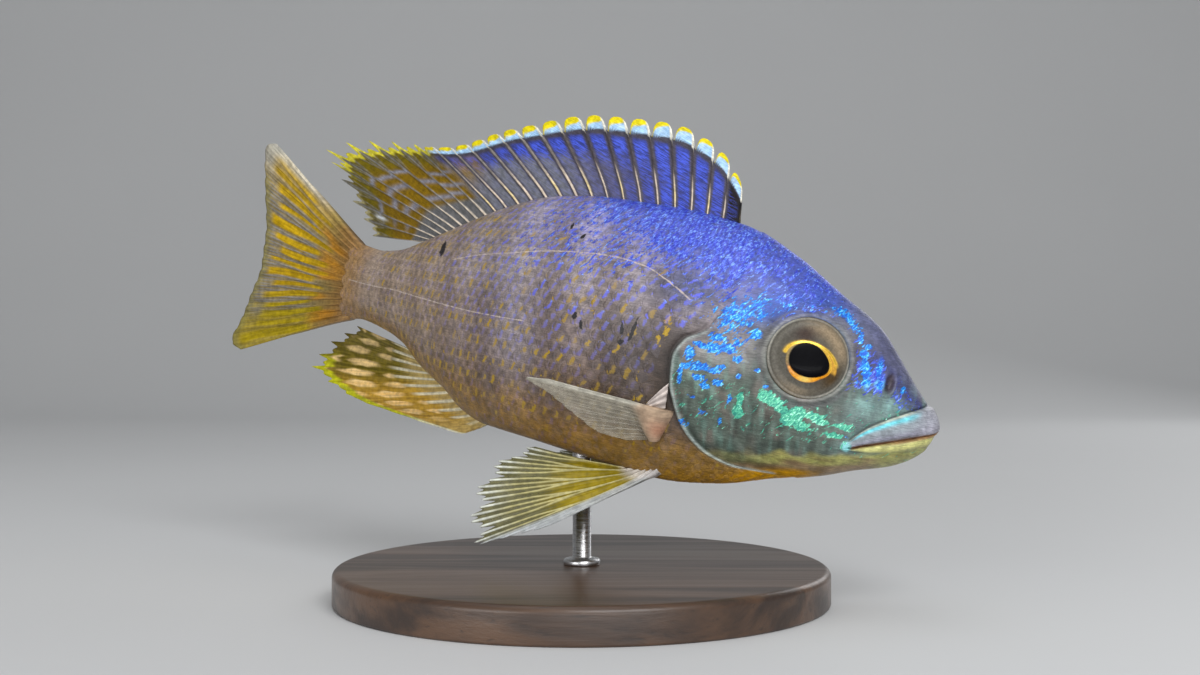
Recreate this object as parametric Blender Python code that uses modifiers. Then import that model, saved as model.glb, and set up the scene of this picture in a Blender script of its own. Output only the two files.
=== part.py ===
"""A placidochromis cichlid, still and life-size, on a museum's display stand.

The fish is worked out straight, in millimetres: a distance behind the snout, a side (left is
plus) and a height above the snout. bend() then lays every point along the turning middle line
of the body and tips the fish nose down. The row frame has +Z up and its origin under the rod,
on the underside of the base. The head points to +X and its right side faces -Y.
"""
import bmesh
import bpy
import numpy as np
from mathutils import Matrix

MM = 0.001

# Driving dimensions of the fish, in millimetres
TAIL_BASE = 96.0
GAP = 0.3

# Which way the body heads along its length: distance behind the snout, degrees towards the viewer
HEADING = [(0, 8), (31, 18), (57, 38), (81, 47), (95, 47), (124, 38)]
NOSE_DOWN = 11.0
MEAN_HEADING = 25.0

# Lines of the body: distance behind the snout, height
BACK_LINE = [(0, 0.6), (1.4, 1.7), (3.7, 4.0), (6.4, 7.0), (9.1, 9.8), (14.2, 13.2), (20.5, 17.1),
             (28, 20.0), (36, 20.7), (46, 20.5), (55, 19.4), (63, 16.9), (71, 13.5), (79, 10.1),
             (85, 7.9), (90, 7.2), (96, 7.6)]
BELLY_LINE = [(0, -1.9), (0.6, -3.0), (1.4, -3.9), (2.8, -4.9), (5, -6.1), (9.3, -7.5), (12.6, -8.8),
              (19, -10.7), (25, -12.6), (33, -13.7), (42, -13.2), (52, -12.8), (60, -12.7),
              (64, -11.9), (68, -10.0), (75, -7.5), (79, -5.5), (84, -4.3), (91, -3.7), (96, -4.5)]
# The widest line, which is the line of the mouth on the snout
MID_LINE = [(0, -0.85), (4, -2.2), (8, -3.55), (11, -4.4), (14, -3.8), (20, -0.8), (27, 1.8),
            (36, 3.4), (50, 3.2), (65, 2.4), (80, 1.9), (96, 1.6)]
HALF_WIDTH = [(0, 2.5), (1.2, 3.0), (3, 3.7), (6, 4.6), (10, 5.5), (14, 6.3), (18, 7.0), (22, 7.6),
              (28, 8.1), (34, 8.2), (42, 7.9), (52, 7.0), (62, 5.7), (72, 4.3), (82, 3.1),
              (90, 2.4), (96, 1.3)]
SNOUT_ROUNDING = 1.2
BACK_FULLNESS = 1.7
BELLY_FULLNESS = 2.2

# Head
HEAD_REACH = 36.0
LIP_LENGTH = 10.6
UPPER_LIP = 3.6
LOWER_LIP = 1.6
LEAST_LIP = 0.35
UPPER_LIP_RISE = 0.42
LOWER_LIP_RISE = 0.34
MOUTH_DEPTH = 0.55
MOUTH_WIDTH = 0.22
NOSTRIL = (7.4, 4.0)
NOSTRIL_RADIUS = 0.6
EYE_PLACE = (16.6, 5.1)
EYE_SIDE = 4.9
EYE_RADII = (4.6, 2.25, 4.5)
EYE_TILT = 12.0
ORBIT_RADIUS = 5.3
ORBIT_WIDTH = 1.2
ORBIT_RISE = 0.3
GILL_COVER_START = 22.0
GILL_COVER_RISE = 0.55
GILL_COVER_TOP = 11.0
# The cut between head and trunk, along the free edge of the gill cover
GILL_EDGE = [(25.0, 26), (25.6, 16), (27.0, 9.6), (28.6, 6.5), (30.8, 5.0), (31.8, 2.5), (31.6, -0.5),
             (30.9, -2.6), (29.9, -4.8), (28.3, -6.9), (25.9, -8.6), (22.5, -9.5), (18.5, -9.5),
             (16.2, -9.4), (14.6, -11.0), (14.2, -16)]

# The cutting blocks reach past the fish on every side
BLOCK_BEHIND = 60.0
BLOCK_AHEAD = -12.0
BLOCK_HEIGHT = 30.0
BLOCK_SIDE = 14.0

# The trunk's own start, inside the head, and the cut between trunk and tail stalk
TRUNK_START = 12.0
TRUNK_CLOSE_RINGS = 34.0
STALK_CUT = 82.0

# Lines round each loft, and shares of the lips' width at which the head's first lines run
HEAD_AROUND = 60
HEAD_RINGS = 32
HEAD_CROWDING = 1.75
LIP_LINES = (0.0, 0.09, 0.4, 0.72, 0.92, 1.0)
TRUNK_AROUND = 44
TRUNK_RINGS = 17
STALK_AROUND = 32

# Thickness of the fins
RAY_AT_ROOT = 1.1
RAY_AT_TIP = 0.6
MEMBRANE = 0.5

# Dorsal fin: seventeen spines, then ten soft rays
SPINES = 17
DORSAL_RAYS = 27
DORSAL_ROOTS = [(1, 28.6), (5, 37.2), (9, 46.8), (17, 65.4), (27, 80.4)]
DORSAL_TIPS = [(1, 29.8, 25.6), (3, 33.8, 29.3), (5, 39.7, 30.6), (8, 49.6, 30.3), (12, 64.0, 27.2),
               (17, 81.2, 23.3), (19, 93.0, 23.2), (21, 103.4, 22.0), (22, 107.4, 20.4),
               (23.5, 103.6, 17.6), (25, 99.4, 13.4), (27, 93.8, 8.8)]
# Each lappet's top from one spine to the next: share of the way, share of the spine's length
LAPPET = [(0.0, 0.955), (0.16, 0.995), (0.45, 1.0), (0.7, 0.955), (0.84, 0.83), (1.0, 0.955)]
SOFT_NOTCH = 0.07

# Anal fin: three spines, then nine soft rays
ANAL_RAYS = 12
ANAL_ROOTS = [(1, 61.0), (12, 78.2)]
ANAL_TIPS = [(1, 66.0, -15.4), (3, 76.0, -15.2), (5, 86.5, -15.4), (7, 97.0, -14.2), (8, 102.4, -12.9),
             (9, 101.6, -10.8), (10, 99.6, -8.4), (12, 93.6, -4.9)]

# Tail fin: sixteen rays
TAIL_RAYS = 16
TAIL_ROOTS = [(1, 7.5), (16, -4.4)]
TAIL_TIPS = [(1, 121.0, 19.4), (2, 123.6, 17.6), (4, 122.7, 13.0), (7, 119.6, 5.0), (9, 119.2, 0.8),
             (12, 121.9, -5.4), (15, 123.2, -11.2), (16, 120.8, -13.4)]
TAIL_ROOT_THICKNESS = 2.0

# Pectoral fins: twelve rays; place of the base and the tips, with how far they stand off
PECTORAL_RAYS = 12
PECTORAL_BASE = [(1, 31.9, -3.9), (12, 32.5, -7.9)]
PECTORAL_TIPS = [(1, 45.5, -3.2, 9.3), (2.5, 48.4, -3.7, 9.5), (5, 45.4, -4.8, 9.4),
                 (8, 41.4, -6.9, 9.2), (10, 38.3, -8.3, 8.9), (12, 35.3, -8.5, 8.5)]
PECTORAL_ROOT_THICKNESS = 0.7
PECTORAL_LOBE = 0.9
PECTORAL_LOBE_SHARE = 0.3

# Pelvic fins: a spine and five soft rays; base as distance and side, tips as distance, side, height
PELVIC_RAYS = 6
PELVIC_BASE = [(1, 32.2, 3.5), (6, 36.0, 1.9)]
PELVIC_TIPS = [(1, 43.5, 7.6, -21.9), (2, 51.3, 9.2, -26.2), (3, 53.0, 8.9, -23.4),
               (4, 53.5, 8.0, -19.8), (5, 52.5, 6.4, -16.0), (6, 49.4, 4.0, -12.9)]
FOLDED_SHARE = 0.72

# Stand
ROD_PLACE = 44.0
ROD_RADIUS = 1.2
ROD_SUNK = 3.0
ROD_FOOT = 2.0
BASE_RADIUS = 32.0
BASE_HEIGHT = 4.5
BASE_EDGE = 0.9
BASE_SIDES = 64
ROD_SIDES = 20
SNOUT_HEIGHT = 23.3

# Looks, as linear red, green and blue with roughness and metallic value
FINISHES = {
    "head_skin": ((0.10, 0.16, 0.30), 0.35, 0.1),
    "body_skin": ((0.20, 0.16, 0.22), 0.40, 0.1),
    "tail_skin": ((0.26, 0.18, 0.15), 0.40, 0.0),
    "spiny_fin": ((0.10, 0.11, 0.42), 0.45, 0.0),
    "yellow_fin": ((0.48, 0.34, 0.06), 0.45, 0.0),
    "clear_fin": ((0.45, 0.42, 0.38), 0.35, 0.0),
    "eye": ((0.02, 0.02, 0.03), 0.08, 0.0),
    "stand_wood": ((0.05, 0.03, 0.02), 0.40, 0.0),
    "stand_steel": ((0.55, 0.55, 0.56), 0.30, 1.0),
}


def through(points, x, column=1):
    """A smooth line through the points that never swings past them, read at x."""
    known = np.array([p[0] for p in points], float)
    value = np.array([p[column] for p in points], float)
    step = np.diff(known)
    secant = np.diff(value) / step
    slope = np.empty_like(value)
    slope[0], slope[-1] = secant[0], secant[-1]
    before, after = secant[:-1], secant[1:]
    weight_before, weight_after = 2 * step[1:] + step[:-1], step[1:] + 2 * step[:-1]
    turning = before * after <= 0
    shared = np.where(turning, 1.0, before * after)
    mean = (weight_before + weight_after) * shared / (
        weight_before * np.where(turning, 1.0, after) + weight_after * np.where(turning, 1.0, before))
    slope[1:-1] = np.where(turning, 0.0, mean)
    x = np.clip(x, known[0], known[-1])
    i = np.clip(np.searchsorted(known, x, side="right") - 1, 0, len(step) - 1)
    t = (x - known[i]) / step[i]
    return (value[i] * (1 + 2 * t) * (1 - t) ** 2 + slope[i] * step[i] * t * (1 - t) ** 2
            + value[i + 1] * t ** 2 * (3 - 2 * t) + slope[i + 1] * step[i] * t ** 2 * (t - 1))


def smooth_step(x):
    """Rises softly from 0 to 1 as x goes from 0 to 1."""
    x = np.clip(x, 0.0, 1.0)
    return x * x * (3 - 2 * x)


# The middle line seen from above, found by adding up short steps along the heading
RUN = np.arange(-10.0, 136.0, 0.25)
RUN_HEADING = np.radians(through(HEADING, RUN))


def summed(rate):
    """The running total of a rate along RUN, nought at the snout."""
    total = np.concatenate([[0.0], np.cumsum((rate[1:] + rate[:-1]) / 2 * np.diff(RUN))])
    return total - np.interp(0.0, RUN, total)


RUN_X = -summed(np.cos(RUN_HEADING))
RUN_Y = summed(np.sin(RUN_HEADING))


def bend(points):
    """Straight fish (ahead, left, up, in metres) to the bent and tipped fish, from the snout."""
    ahead, left, up = np.asarray(points, float).T / MM
    turn = np.interp(-ahead, RUN, RUN_HEADING)
    x = np.interp(-ahead, RUN, RUN_X) + left * np.sin(turn)
    y = np.interp(-ahead, RUN, RUN_Y) + left * np.cos(turn)
    mean = np.radians(MEAN_HEADING)
    tip = np.array(Matrix.Rotation(np.radians(NOSE_DOWN), 3, (np.sin(mean), np.cos(mean), 0.0)))
    return np.stack([x, y, up], -1) @ tip.T * MM


def section(s, angle):
    """Skin of the straight body: angle 0 is the left side, 90 degrees the back, -90 the belly.
    side = width cos^(2 / fullness); height leaves the mid line for the back or belly as sin."""
    mid, width = through(MID_LINE, s), through(HALF_WIDTH, s)
    blunt = np.sqrt(1 - (1 - np.clip(s / SNOUT_ROUNDING, 0, 1)) ** 2)
    upper = np.sin(angle) > 0
    reach = np.where(upper, through(BACK_LINE, s) - mid, mid - through(BELLY_LINE, s))
    power = 2 / np.where(upper, BACK_FULLNESS, BELLY_FULLNESS)
    side = width * np.sign(np.cos(angle)) * np.abs(np.cos(angle)) ** power
    return np.stack([s, side * blunt, mid + reach * blunt * np.sin(angle)], -1)


def flank(s, height):
    """How far out the skin is at a height on the side of the body."""
    mid = through(MID_LINE, s)
    upper = height > mid
    reach = np.where(upper, through(BACK_LINE, s) - mid, mid - through(BELLY_LINE, s))
    share = np.clip(np.abs(height - mid) / reach, 0, 1)
    return through(HALF_WIDTH, s) * (1 - share ** 2) ** (1 / np.where(upper, BACK_FULLNESS, BELLY_FULLNESS))


def underside(s, side):
    """How low the belly is at a side."""
    mid = through(MID_LINE, s)
    share = np.clip(np.abs(side) / through(HALF_WIDTH, s), 0, 1)
    return mid - (mid - through(BELLY_LINE, s)) * np.sqrt(1 - share ** BELLY_FULLNESS)


def lip_widths(s):
    """Width of the upper lip, a quarter ellipse along its length, and of the lower lip."""
    along = np.clip(s / LIP_LENGTH, 0, 1)
    return UPPER_LIP * np.sqrt(1 - along ** 2), LOWER_LIP * (1 - along ** 4)


def head_relief(s, height):
    """How far the head's skin rises over the plain section: lips with the line of the mouth
    sunk between them, the rim of the eye, and the gill cover swelling towards its free edge."""
    rise = height - through(MID_LINE, s)
    upper_width, lower_width = lip_widths(s)
    upper = np.clip(rise / np.maximum(upper_width, MOUTH_WIDTH), 0, 1)
    lower = np.clip(-rise / np.maximum(lower_width, MOUTH_WIDTH), 0, 1)
    lips = UPPER_LIP_RISE * np.sqrt(np.sin(np.pi * upper)) + LOWER_LIP_RISE * np.sqrt(np.sin(np.pi * lower))
    mouth = MOUTH_DEPTH * np.exp(-(rise / MOUTH_WIDTH) ** 2)
    from_eye = np.hypot(s - EYE_PLACE[0], height - EYE_PLACE[1])
    orbit = ORBIT_RISE * np.exp(-((from_eye - ORBIT_RADIUS) / ORBIT_WIDTH) ** 2)
    gill = smooth_step((s - GILL_COVER_START) / 8) * smooth_step((GILL_COVER_TOP - height) / 4)
    return (lips - mouth) * smooth_step(LIP_LENGTH - s) + orbit + GILL_COVER_RISE * gill


def head_surface(s, angle):
    """The plain section, moved out along its own normal by the relief of the head."""
    at = section(s, angle)
    small = 0.02
    along = section(s + small, angle) - section(np.maximum(s - small, 0), angle)
    around = section(s, angle + small) - section(s, angle - small)
    normal = np.cross(around, along)
    length = np.linalg.norm(normal, axis=-1, keepdims=True)
    normal = np.where(length > 1e-9, normal / np.maximum(length, 1e-9), (-1.0, 0.0, 0.0))
    outward = np.sign(np.sum(normal * (at - np.stack([s + 3, 0 * s, through(MID_LINE, s)], -1)), -1))
    return at + normal * (outward * head_relief(s, at[..., 2]))[..., None]


def head_lines(quarter, s):
    """Angles of the head's lines: the first ones over and under the mid line keep to the lips,
    and the others share out what is left up to the back and down to the belly."""
    upper_width, lower_width = lip_widths(s)
    upper = quarter > 0
    mid = through(MID_LINE, s)
    reach = np.where(upper, through(BACK_LINE, s) - mid, mid - through(BELLY_LINE, s))
    width = np.maximum(np.where(upper, upper_width, lower_width), LEAST_LIP + s / HEAD_REACH)
    edge = np.arcsin(np.clip(width / reach, 0, 0.8))
    step = np.abs(quarter) * HEAD_AROUND / 4
    lip_steps = len(LIP_LINES) - 1
    on_lip = edge * np.interp(step, np.arange(lip_steps + 1), LIP_LINES)
    beyond = np.clip((step - lip_steps) / (HEAD_AROUND / 4 - lip_steps), 0, 1)
    return np.sign(quarter) * np.where(step < lip_steps, on_lip, edge + (np.pi / 2 - edge) * beyond)


def even_lines(quarter, s):
    """Angles of the lines on trunk and tail stalk, a little closer at the mid line."""
    return np.sign(quarter) * np.abs(quarter) ** 1.15 * np.pi / 2 + 0 * s


def set_places(mesh, places):
    """Gives a mesh's vertices their places: distance behind the snout, side, height, in mm."""
    local = np.asarray(places, float) * (-MM, MM, MM)
    mesh.vertices.foreach_set("co", local.astype(np.float32).ravel())
    mesh.update()


def new_object(name, mesh, collection):
    obj = bpy.data.objects.new(name, mesh)
    collection.objects.link(obj)
    return obj


def mesh_from(bm, name):
    mesh = bpy.data.meshes.new(name)
    bm.to_mesh(mesh)
    bm.free()
    return mesh


def read_places(mesh):
    """The mesh's vertices as an array, in metres."""
    places = np.empty(len(mesh.vertices) * 3, np.float32)
    mesh.vertices.foreach_get("co", places)
    return places.reshape(-1, 3).astype(float)


def loft(name, stations, around, lines, surface, collection):
    """A closed form from a sphere: each of its rings goes to a station, its poles close the ends,
    and lines(quarter, s) gives the angle at a share of the quarter turn from the mid line."""
    rings = len(stations) - 1
    bm = bmesh.new()
    bmesh.ops.create_uvsphere(bm, u_segments=around, v_segments=rings, radius=1.0)
    mesh = mesh_from(bm, name)
    x, y, z = read_places(mesh).T
    ring = np.rint(np.arccos(np.clip(z, -1, 1)) / np.pi * rings).astype(int)
    quarter = np.arctan2(y, np.abs(x)) / (np.pi / 2)
    s = np.asarray(stations, float)[ring]
    angle = lines(quarter, s)
    angle = np.where(x >= -1e-6, angle, np.pi - angle)
    places = surface(s, angle)
    end = (ring == 0) | (ring == rings)
    centre = np.stack([s, 0 * s, through(MID_LINE, s)], -1)
    closed = np.where((end & (s > 0))[:, None], centre, places)
    set_places(mesh, closed)
    return new_object(name, mesh, collection)


def ellipsoid(name, place, radii, tilt, grow, collection, detail=(24, 14)):
    """A sphere stretched to radii along the fish, to its side and up, turned about the fish's line."""
    bm = bmesh.new()
    bmesh.ops.create_uvsphere(bm, u_segments=detail[0], v_segments=detail[1], radius=1.0)
    bmesh.ops.rotate(bm, verts=bm.verts, matrix=Matrix.Rotation(np.pi / 2, 3, "X"))
    bmesh.ops.scale(bm, verts=bm.verts, vec=[(r + grow) * MM for r in radii])
    bmesh.ops.rotate(bm, verts=bm.verts, matrix=Matrix.Rotation(tilt, 3, "X"))
    bmesh.ops.translate(bm, verts=bm.verts, vec=(-place[0] * MM, place[1] * MM, place[2] * MM))
    return new_object(name, mesh_from(bm, name), collection)


def gill_line(shift):
    """The line of the gill cover's edge as distance and height, moved towards the tail by shift."""
    numbered = [(i, *p) for i, p in enumerate(GILL_EDGE)]
    t = np.linspace(0, len(GILL_EDGE) - 1, 46)
    line = np.stack([through(numbered, t, 1), through(numbered, t, 2)], -1)
    ahead = np.gradient(line, axis=0)
    normal = np.stack([-ahead[:, 1], ahead[:, 0]], -1)
    return line + shift * normal / np.linalg.norm(normal, axis=1, keepdims=True)


def block(name, outline, collection):
    """A plate wider than the fish, with an outline of distances and heights."""
    bm = bmesh.new()
    corners = [bm.verts.new((-s * MM, -BLOCK_SIDE * MM, h * MM)) for s, h in outline]
    face = bm.faces.new(corners)
    wall = bmesh.ops.extrude_face_region(bm, geom=[face])
    moved = [v for v in wall["geom"] if isinstance(v, bmesh.types.BMVert)]
    bmesh.ops.translate(bm, verts=moved, vec=(0, 2 * BLOCK_SIDE * MM, 0))
    bmesh.ops.recalc_face_normals(bm, faces=bm.faces)
    return new_object(name, mesh_from(bm, name), collection)


def rod_cylinder(name, radius, low, high, sides, collection):
    """An upright cylinder on the rod's axis, in the row frame."""
    bm = bmesh.new()
    bmesh.ops.create_cone(bm, cap_ends=True, segments=sides, radius1=radius * MM, radius2=radius * MM,
                          depth=(high - low) * MM)
    bmesh.ops.translate(bm, verts=bm.verts, vec=(0, 0, (high + low) / 2 * MM))
    return new_object(name, mesh_from(bm, name), collection)


def add_cut(obj, cutter):
    """Takes a cutter away from an object with a modifier, and hides the cutter."""
    modifier = obj.modifiers.new("Cut " + cutter.name, "BOOLEAN")
    modifier.operation = "DIFFERENCE"
    modifier.solver = "EXACT"
    modifier.object = cutter
    cutter.hide_render = True
    cutter.display_type = "WIRE"


def keep_largest(bm):
    """Drops every loose scrap but the surface with the most faces."""
    left, largest = set(bm.faces), []
    while left:
        found, edge = [], [left.pop()]
        while edge:
            face = edge.pop()
            found.append(face)
            beside = {f for e in face.edges for f in e.link_faces if f in left}
            left -= beside
            edge.extend(beside)
        if len(found) > len(largest):
            largest = found
    kept = set(largest)
    bmesh.ops.delete(bm, geom=[f for f in bm.faces if f not in kept], context="FACES")


def cut_now(obj, cutters):
    """Makes the cuts, keeps the one closed body in triangles, and removes the cutters."""
    for cutter in cutters:
        add_cut(obj, cutter)
    bpy.context.view_layer.update()
    evaluated = obj.evaluated_get(bpy.context.evaluated_depsgraph_get())
    cut_mesh = bpy.data.meshes.new_from_object(evaluated)
    obj.modifiers.clear()
    bm = bmesh.new()
    bm.from_mesh(cut_mesh)
    keep_largest(bm)
    bmesh.ops.dissolve_degenerate(bm, dist=1e-5, edges=bm.edges)
    bmesh.ops.triangulate(bm, faces=bm.faces)
    obj.data = mesh_from(bm, obj.name)
    for cutter in cutters:
        bpy.data.objects.remove(cutter)


def bend_object(obj):
    obj.data.vertices.foreach_set("co", bend(read_places(obj.data)).astype(np.float32).ravel())
    obj.data.update()


def ray_columns(count, foot):
    """Columns of a fin: each ray's crest with a foot on both sides of it."""
    crests = np.arange(1, count + 1)
    return np.sort(np.concatenate([crests - foot, crests, crests + foot]))


def make_fin(name, columns, rows, place, thickness, collection):
    """A fin: a flat grid whose points go to place(column, row), bent with the fish, cut into
    triangles that both faces share, and given a wall as thick as thickness(column, row)."""
    bm = bmesh.new()
    bmesh.ops.create_grid(bm, x_segments=len(columns) - 1, y_segments=len(rows) - 1, size=0.5)
    mesh = mesh_from(bm, name)
    x, y, _ = read_places(mesh).T
    q = np.asarray(columns, float)[np.rint((x + 0.5) * (len(columns) - 1)).astype(int)]
    v = np.asarray(rows, float)[np.rint((y + 0.5) * (len(rows) - 1)).astype(int)]
    set_places(mesh, place(q, v))
    bm = bmesh.new()
    bm.from_mesh(mesh)
    bmesh.ops.triangulate(bm, faces=bm.faces, quad_method="FIXED")
    obj = new_object(name, mesh_from(bm, name), collection)
    bend_object(obj)
    wall = thickness(q, v)
    thickest = float(wall.max())
    group = obj.vertex_groups.new(name="wall")
    for index, share in enumerate(wall / thickest):
        group.add([index], float(share), "REPLACE")
    solid = obj.modifiers.new("Wall", "SOLIDIFY")
    solid.thickness = thickest * MM
    solid.offset = 0.0
    solid.vertex_group = group.name
    return obj


def ray_wall(q, v, root=RAY_AT_ROOT):
    """Thickness of a fin: ridges on the whole ray numbers that taper to their tips."""
    crest = np.abs(q - np.rint(q)) < 1e-3
    ridge = RAY_AT_TIP + (root - RAY_AT_TIP) * (1 - v) ** 1.5
    web = MEMBRANE + (root - MEMBRANE) * smooth_step(1 - v / 0.12) * 0.6
    return np.where(crest, ridge, np.minimum(web, ridge))


def incised(q, v, depth):
    """Draws the web in between the ray tips by a share of the ray's length."""
    from_crest = np.minimum(np.abs(q - np.rint(q)) * 2, 1)
    return v * (1 - depth * from_crest)


def dorsal_place(q, v):
    """Rays stand on the back line and rake more and more; each web ends in a round lappet behind
    its spine, with a notch before the next, and the soft rays in points."""
    root = through(DORSAL_ROOTS, q)
    lappet = np.interp(q - np.floor(q + 1e-6), *zip(*LAPPET))
    soft_edge = incised(q, 1.0, SOFT_NOTCH)
    soft = smooth_step(q - SPINES)
    reach = v * (lappet + (soft_edge - lappet) * soft)
    foot_height = through(BACK_LINE, root) + GAP
    s = root + (through(DORSAL_TIPS, q, 1) - root) * reach
    height = foot_height + (through(DORSAL_TIPS, q, 2) - foot_height) * reach ** 0.94
    sway = 0.9 * soft * v * np.sin((q - SPINES) * 0.8)
    return np.stack([s, sway, height], -1)


def anal_place(q, v):
    """Rays lean back from the belly line; the soft ones end in a point behind."""
    root = through(ANAL_ROOTS, q)
    reach = incised(q, v, 0.12)
    foot_height = through(BELLY_LINE, root) - GAP
    s = root + (through(ANAL_TIPS, q, 1) - root) * reach
    height = foot_height + (through(ANAL_TIPS, q, 2) - foot_height) * reach ** 0.9
    sway = 0.7 * v * np.sin(q * 0.7)
    return np.stack([s, sway, height], -1)


def tail_place(q, v):
    """Rays fan out from the end of the tail stalk to the notched rear edge."""
    reach = incised(q, v, 0.06)
    root_height = through(TAIL_ROOTS, q)
    root = TAIL_BASE + GAP
    s = root + (through(TAIL_TIPS, q, 1) - root) * reach
    spread = reach ** 1.1
    height = root_height + (through(TAIL_TIPS, q, 2) - root_height) * spread
    sway = 0.6 * v * np.sin(q * 0.55)
    return np.stack([s, sway, height], -1)


def pectoral_lobe(v):
    """The fleshy lobe at the fin's base: it swells and thins again over the first part of the rays."""
    return PECTORAL_LOBE * np.sin(np.pi * np.clip(v / PECTORAL_LOBE_SHARE, 0, 1))


def pectoral_place(hand):
    """A fan laid back along the flank; hand is 1 on the left and -1 on the right."""
    def place(q, v):
        reach = incised(q, v, 0.05)
        root, root_height = through(PECTORAL_BASE, q, 1), through(PECTORAL_BASE, q, 2)
        root_side = flank(root, root_height) + GAP + (PECTORAL_ROOT_THICKNESS + pectoral_lobe(v)) / 2
        s = root + (through(PECTORAL_TIPS, q, 1) - root) * reach
        height = root_height + (through(PECTORAL_TIPS, q, 2) - root_height) * reach
        side = root_side + (through(PECTORAL_TIPS, q, 3) - root_side) * reach
        return np.stack([s, hand * side, height], -1)
    return place


def pelvic_place(hand, spread):
    """A fan below the belly; spread is how far its rays stand open."""
    def place(q, v):
        reach = incised(q, v, 0.10)
        root, root_side = through(PELVIC_BASE, q, 1), through(PELVIC_BASE, q, 2)
        root_height = underside(root, root_side) - GAP - RAY_AT_ROOT / 2
        folded = through(PELVIC_TIPS, 6.0, 2), through(PELVIC_TIPS, 6.0, 3)
        tip_side = folded[0] + (through(PELVIC_TIPS, q, 2) - folded[0]) * spread
        tip_height = folded[1] + (through(PELVIC_TIPS, q, 3) - folded[1]) * spread
        s = root + (through(PELVIC_TIPS, q, 1) - root) * reach
        side = root_side + (tip_side - root_side) * reach
        height = root_height + (tip_height - root_height) * reach
        return np.stack([s, hand * side, height], -1)
    return place


def make_material(name):
    color, roughness, metallic = FINISHES[name]
    material = bpy.data.materials.new(name)
    material.use_nodes = True
    shader = material.node_tree.nodes["Principled BSDF"]
    shader.inputs["Base Color"].default_value = (*color, 1.0)
    shader.inputs["Roughness"].default_value = roughness
    shader.inputs["Metallic"].default_value = metallic
    return material


def head_cutters(cutters):
    """What is taken from the head: all behind the gill cover's edge, the eye sockets, nostrils."""
    edge = gill_line(-GAP / 2)
    corners = [(BLOCK_BEHIND, -BLOCK_HEIGHT), (BLOCK_BEHIND, BLOCK_HEIGHT)]
    behind = block("behind_gill_cover", [*edge, *corners], cutters)
    tools = [behind]
    for hand, side_name in ((1, "left"), (-1, "right")):
        socket = ellipsoid("eye_socket_" + side_name, (EYE_PLACE[0], hand * EYE_SIDE, EYE_PLACE[1]),
                           EYE_RADII, hand * np.radians(EYE_TILT), GAP, cutters)
        nostril_side = flank(np.array(NOSTRIL[0]), np.array(NOSTRIL[1]))
        pit = ellipsoid("nostril_" + side_name, (NOSTRIL[0], hand * float(nostril_side), NOSTRIL[1]),
                        (NOSTRIL_RADIUS, NOSTRIL_RADIUS * 1.3, NOSTRIL_RADIUS), 0.0, 0.0, cutters, (10, 6))
        tools += [socket, pit]
    return tools


def make_head(parts, cutters):
    stations = HEAD_REACH * np.linspace(0, 1, HEAD_RINGS + 1) ** HEAD_CROWDING
    head = loft("head", stations, HEAD_AROUND, head_lines, head_surface, parts)
    cut_now(head, head_cutters(cutters))
    bend_object(head)
    return head


def make_trunk(parts, cutters):
    close_rings = np.arange(TRUNK_START, TRUNK_CLOSE_RINGS, 2.75)
    wide_rings = np.linspace(TRUNK_CLOSE_RINGS, STALK_CUT, TRUNK_RINGS)
    trunk = loft("trunk", [TRUNK_START, *close_rings, *wide_rings, STALK_CUT], TRUNK_AROUND, even_lines,
                 section, parts)
    edge = gill_line(GAP / 2)
    corners = [(BLOCK_AHEAD, -BLOCK_HEIGHT), (BLOCK_AHEAD, BLOCK_HEIGHT)]
    ahead = block("ahead_of_gill_edge", [*edge, *corners], cutters)
    cut_now(trunk, [ahead])
    bend_object(trunk)
    return trunk


def make_tail_stalk(parts):
    start = STALK_CUT + GAP
    stations = [start, *np.linspace(start, TAIL_BASE, 6), TAIL_BASE]
    stalk = loft("tail_stalk", stations, STALK_AROUND, even_lines, section, parts)
    bend_object(stalk)
    return stalk


def make_eyes(parts):
    eyes = []
    for hand, side_name in ((1, "left"), (-1, "right")):
        eye = ellipsoid("eye_" + side_name, (EYE_PLACE[0], hand * EYE_SIDE, EYE_PLACE[1]),
                        EYE_RADII, hand * np.radians(EYE_TILT), 0.0, parts)
        bend_object(eye)
        eyes.append(eye)
    return eyes


def make_fins(parts):
    """Every fin by name, with the finish it takes."""
    rows = [0, 0.12, 0.4, 0.7, 0.9, 1]
    tail_rows = [0, 0.1, 0.3, 0.5, 0.7, 0.87, 1]
    lobes = np.arange(1, SPINES + 1) + 0.5
    columns = np.sort([*ray_columns(DORSAL_RAYS, 0.16)[1:-1], *lobes])
    dorsal = make_fin("dorsal_fin", columns, rows, dorsal_place, ray_wall, parts)
    anal = make_fin("anal_fin", ray_columns(ANAL_RAYS, 0.2), rows, anal_place, ray_wall, parts)
    tail = make_fin("tail_fin", ray_columns(TAIL_RAYS, 0.25), tail_rows, tail_place,
                    lambda q, v: ray_wall(q, v, TAIL_ROOT_THICKNESS), parts)
    fins = {dorsal: "spiny_fin", anal: "yellow_fin", tail: "yellow_fin"}
    for hand, side_name, spread in ((1, "left", FOLDED_SHARE), (-1, "right", 1.0)):
        pectoral = make_fin("pectoral_fin_" + side_name, np.linspace(1, PECTORAL_RAYS, 2 * PECTORAL_RAYS - 1),
                            rows, pectoral_place(hand),
                            lambda q, v: ray_wall(q, v, PECTORAL_ROOT_THICKNESS) + pectoral_lobe(v), parts)
        pelvic = make_fin("pelvic_fin_" + side_name, ray_columns(PELVIC_RAYS, 0.2), rows,
                          pelvic_place(hand, spread), ray_wall, parts)
        fins[pectoral] = "clear_fin"
        fins[pelvic] = "yellow_fin"
    return fins


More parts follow.
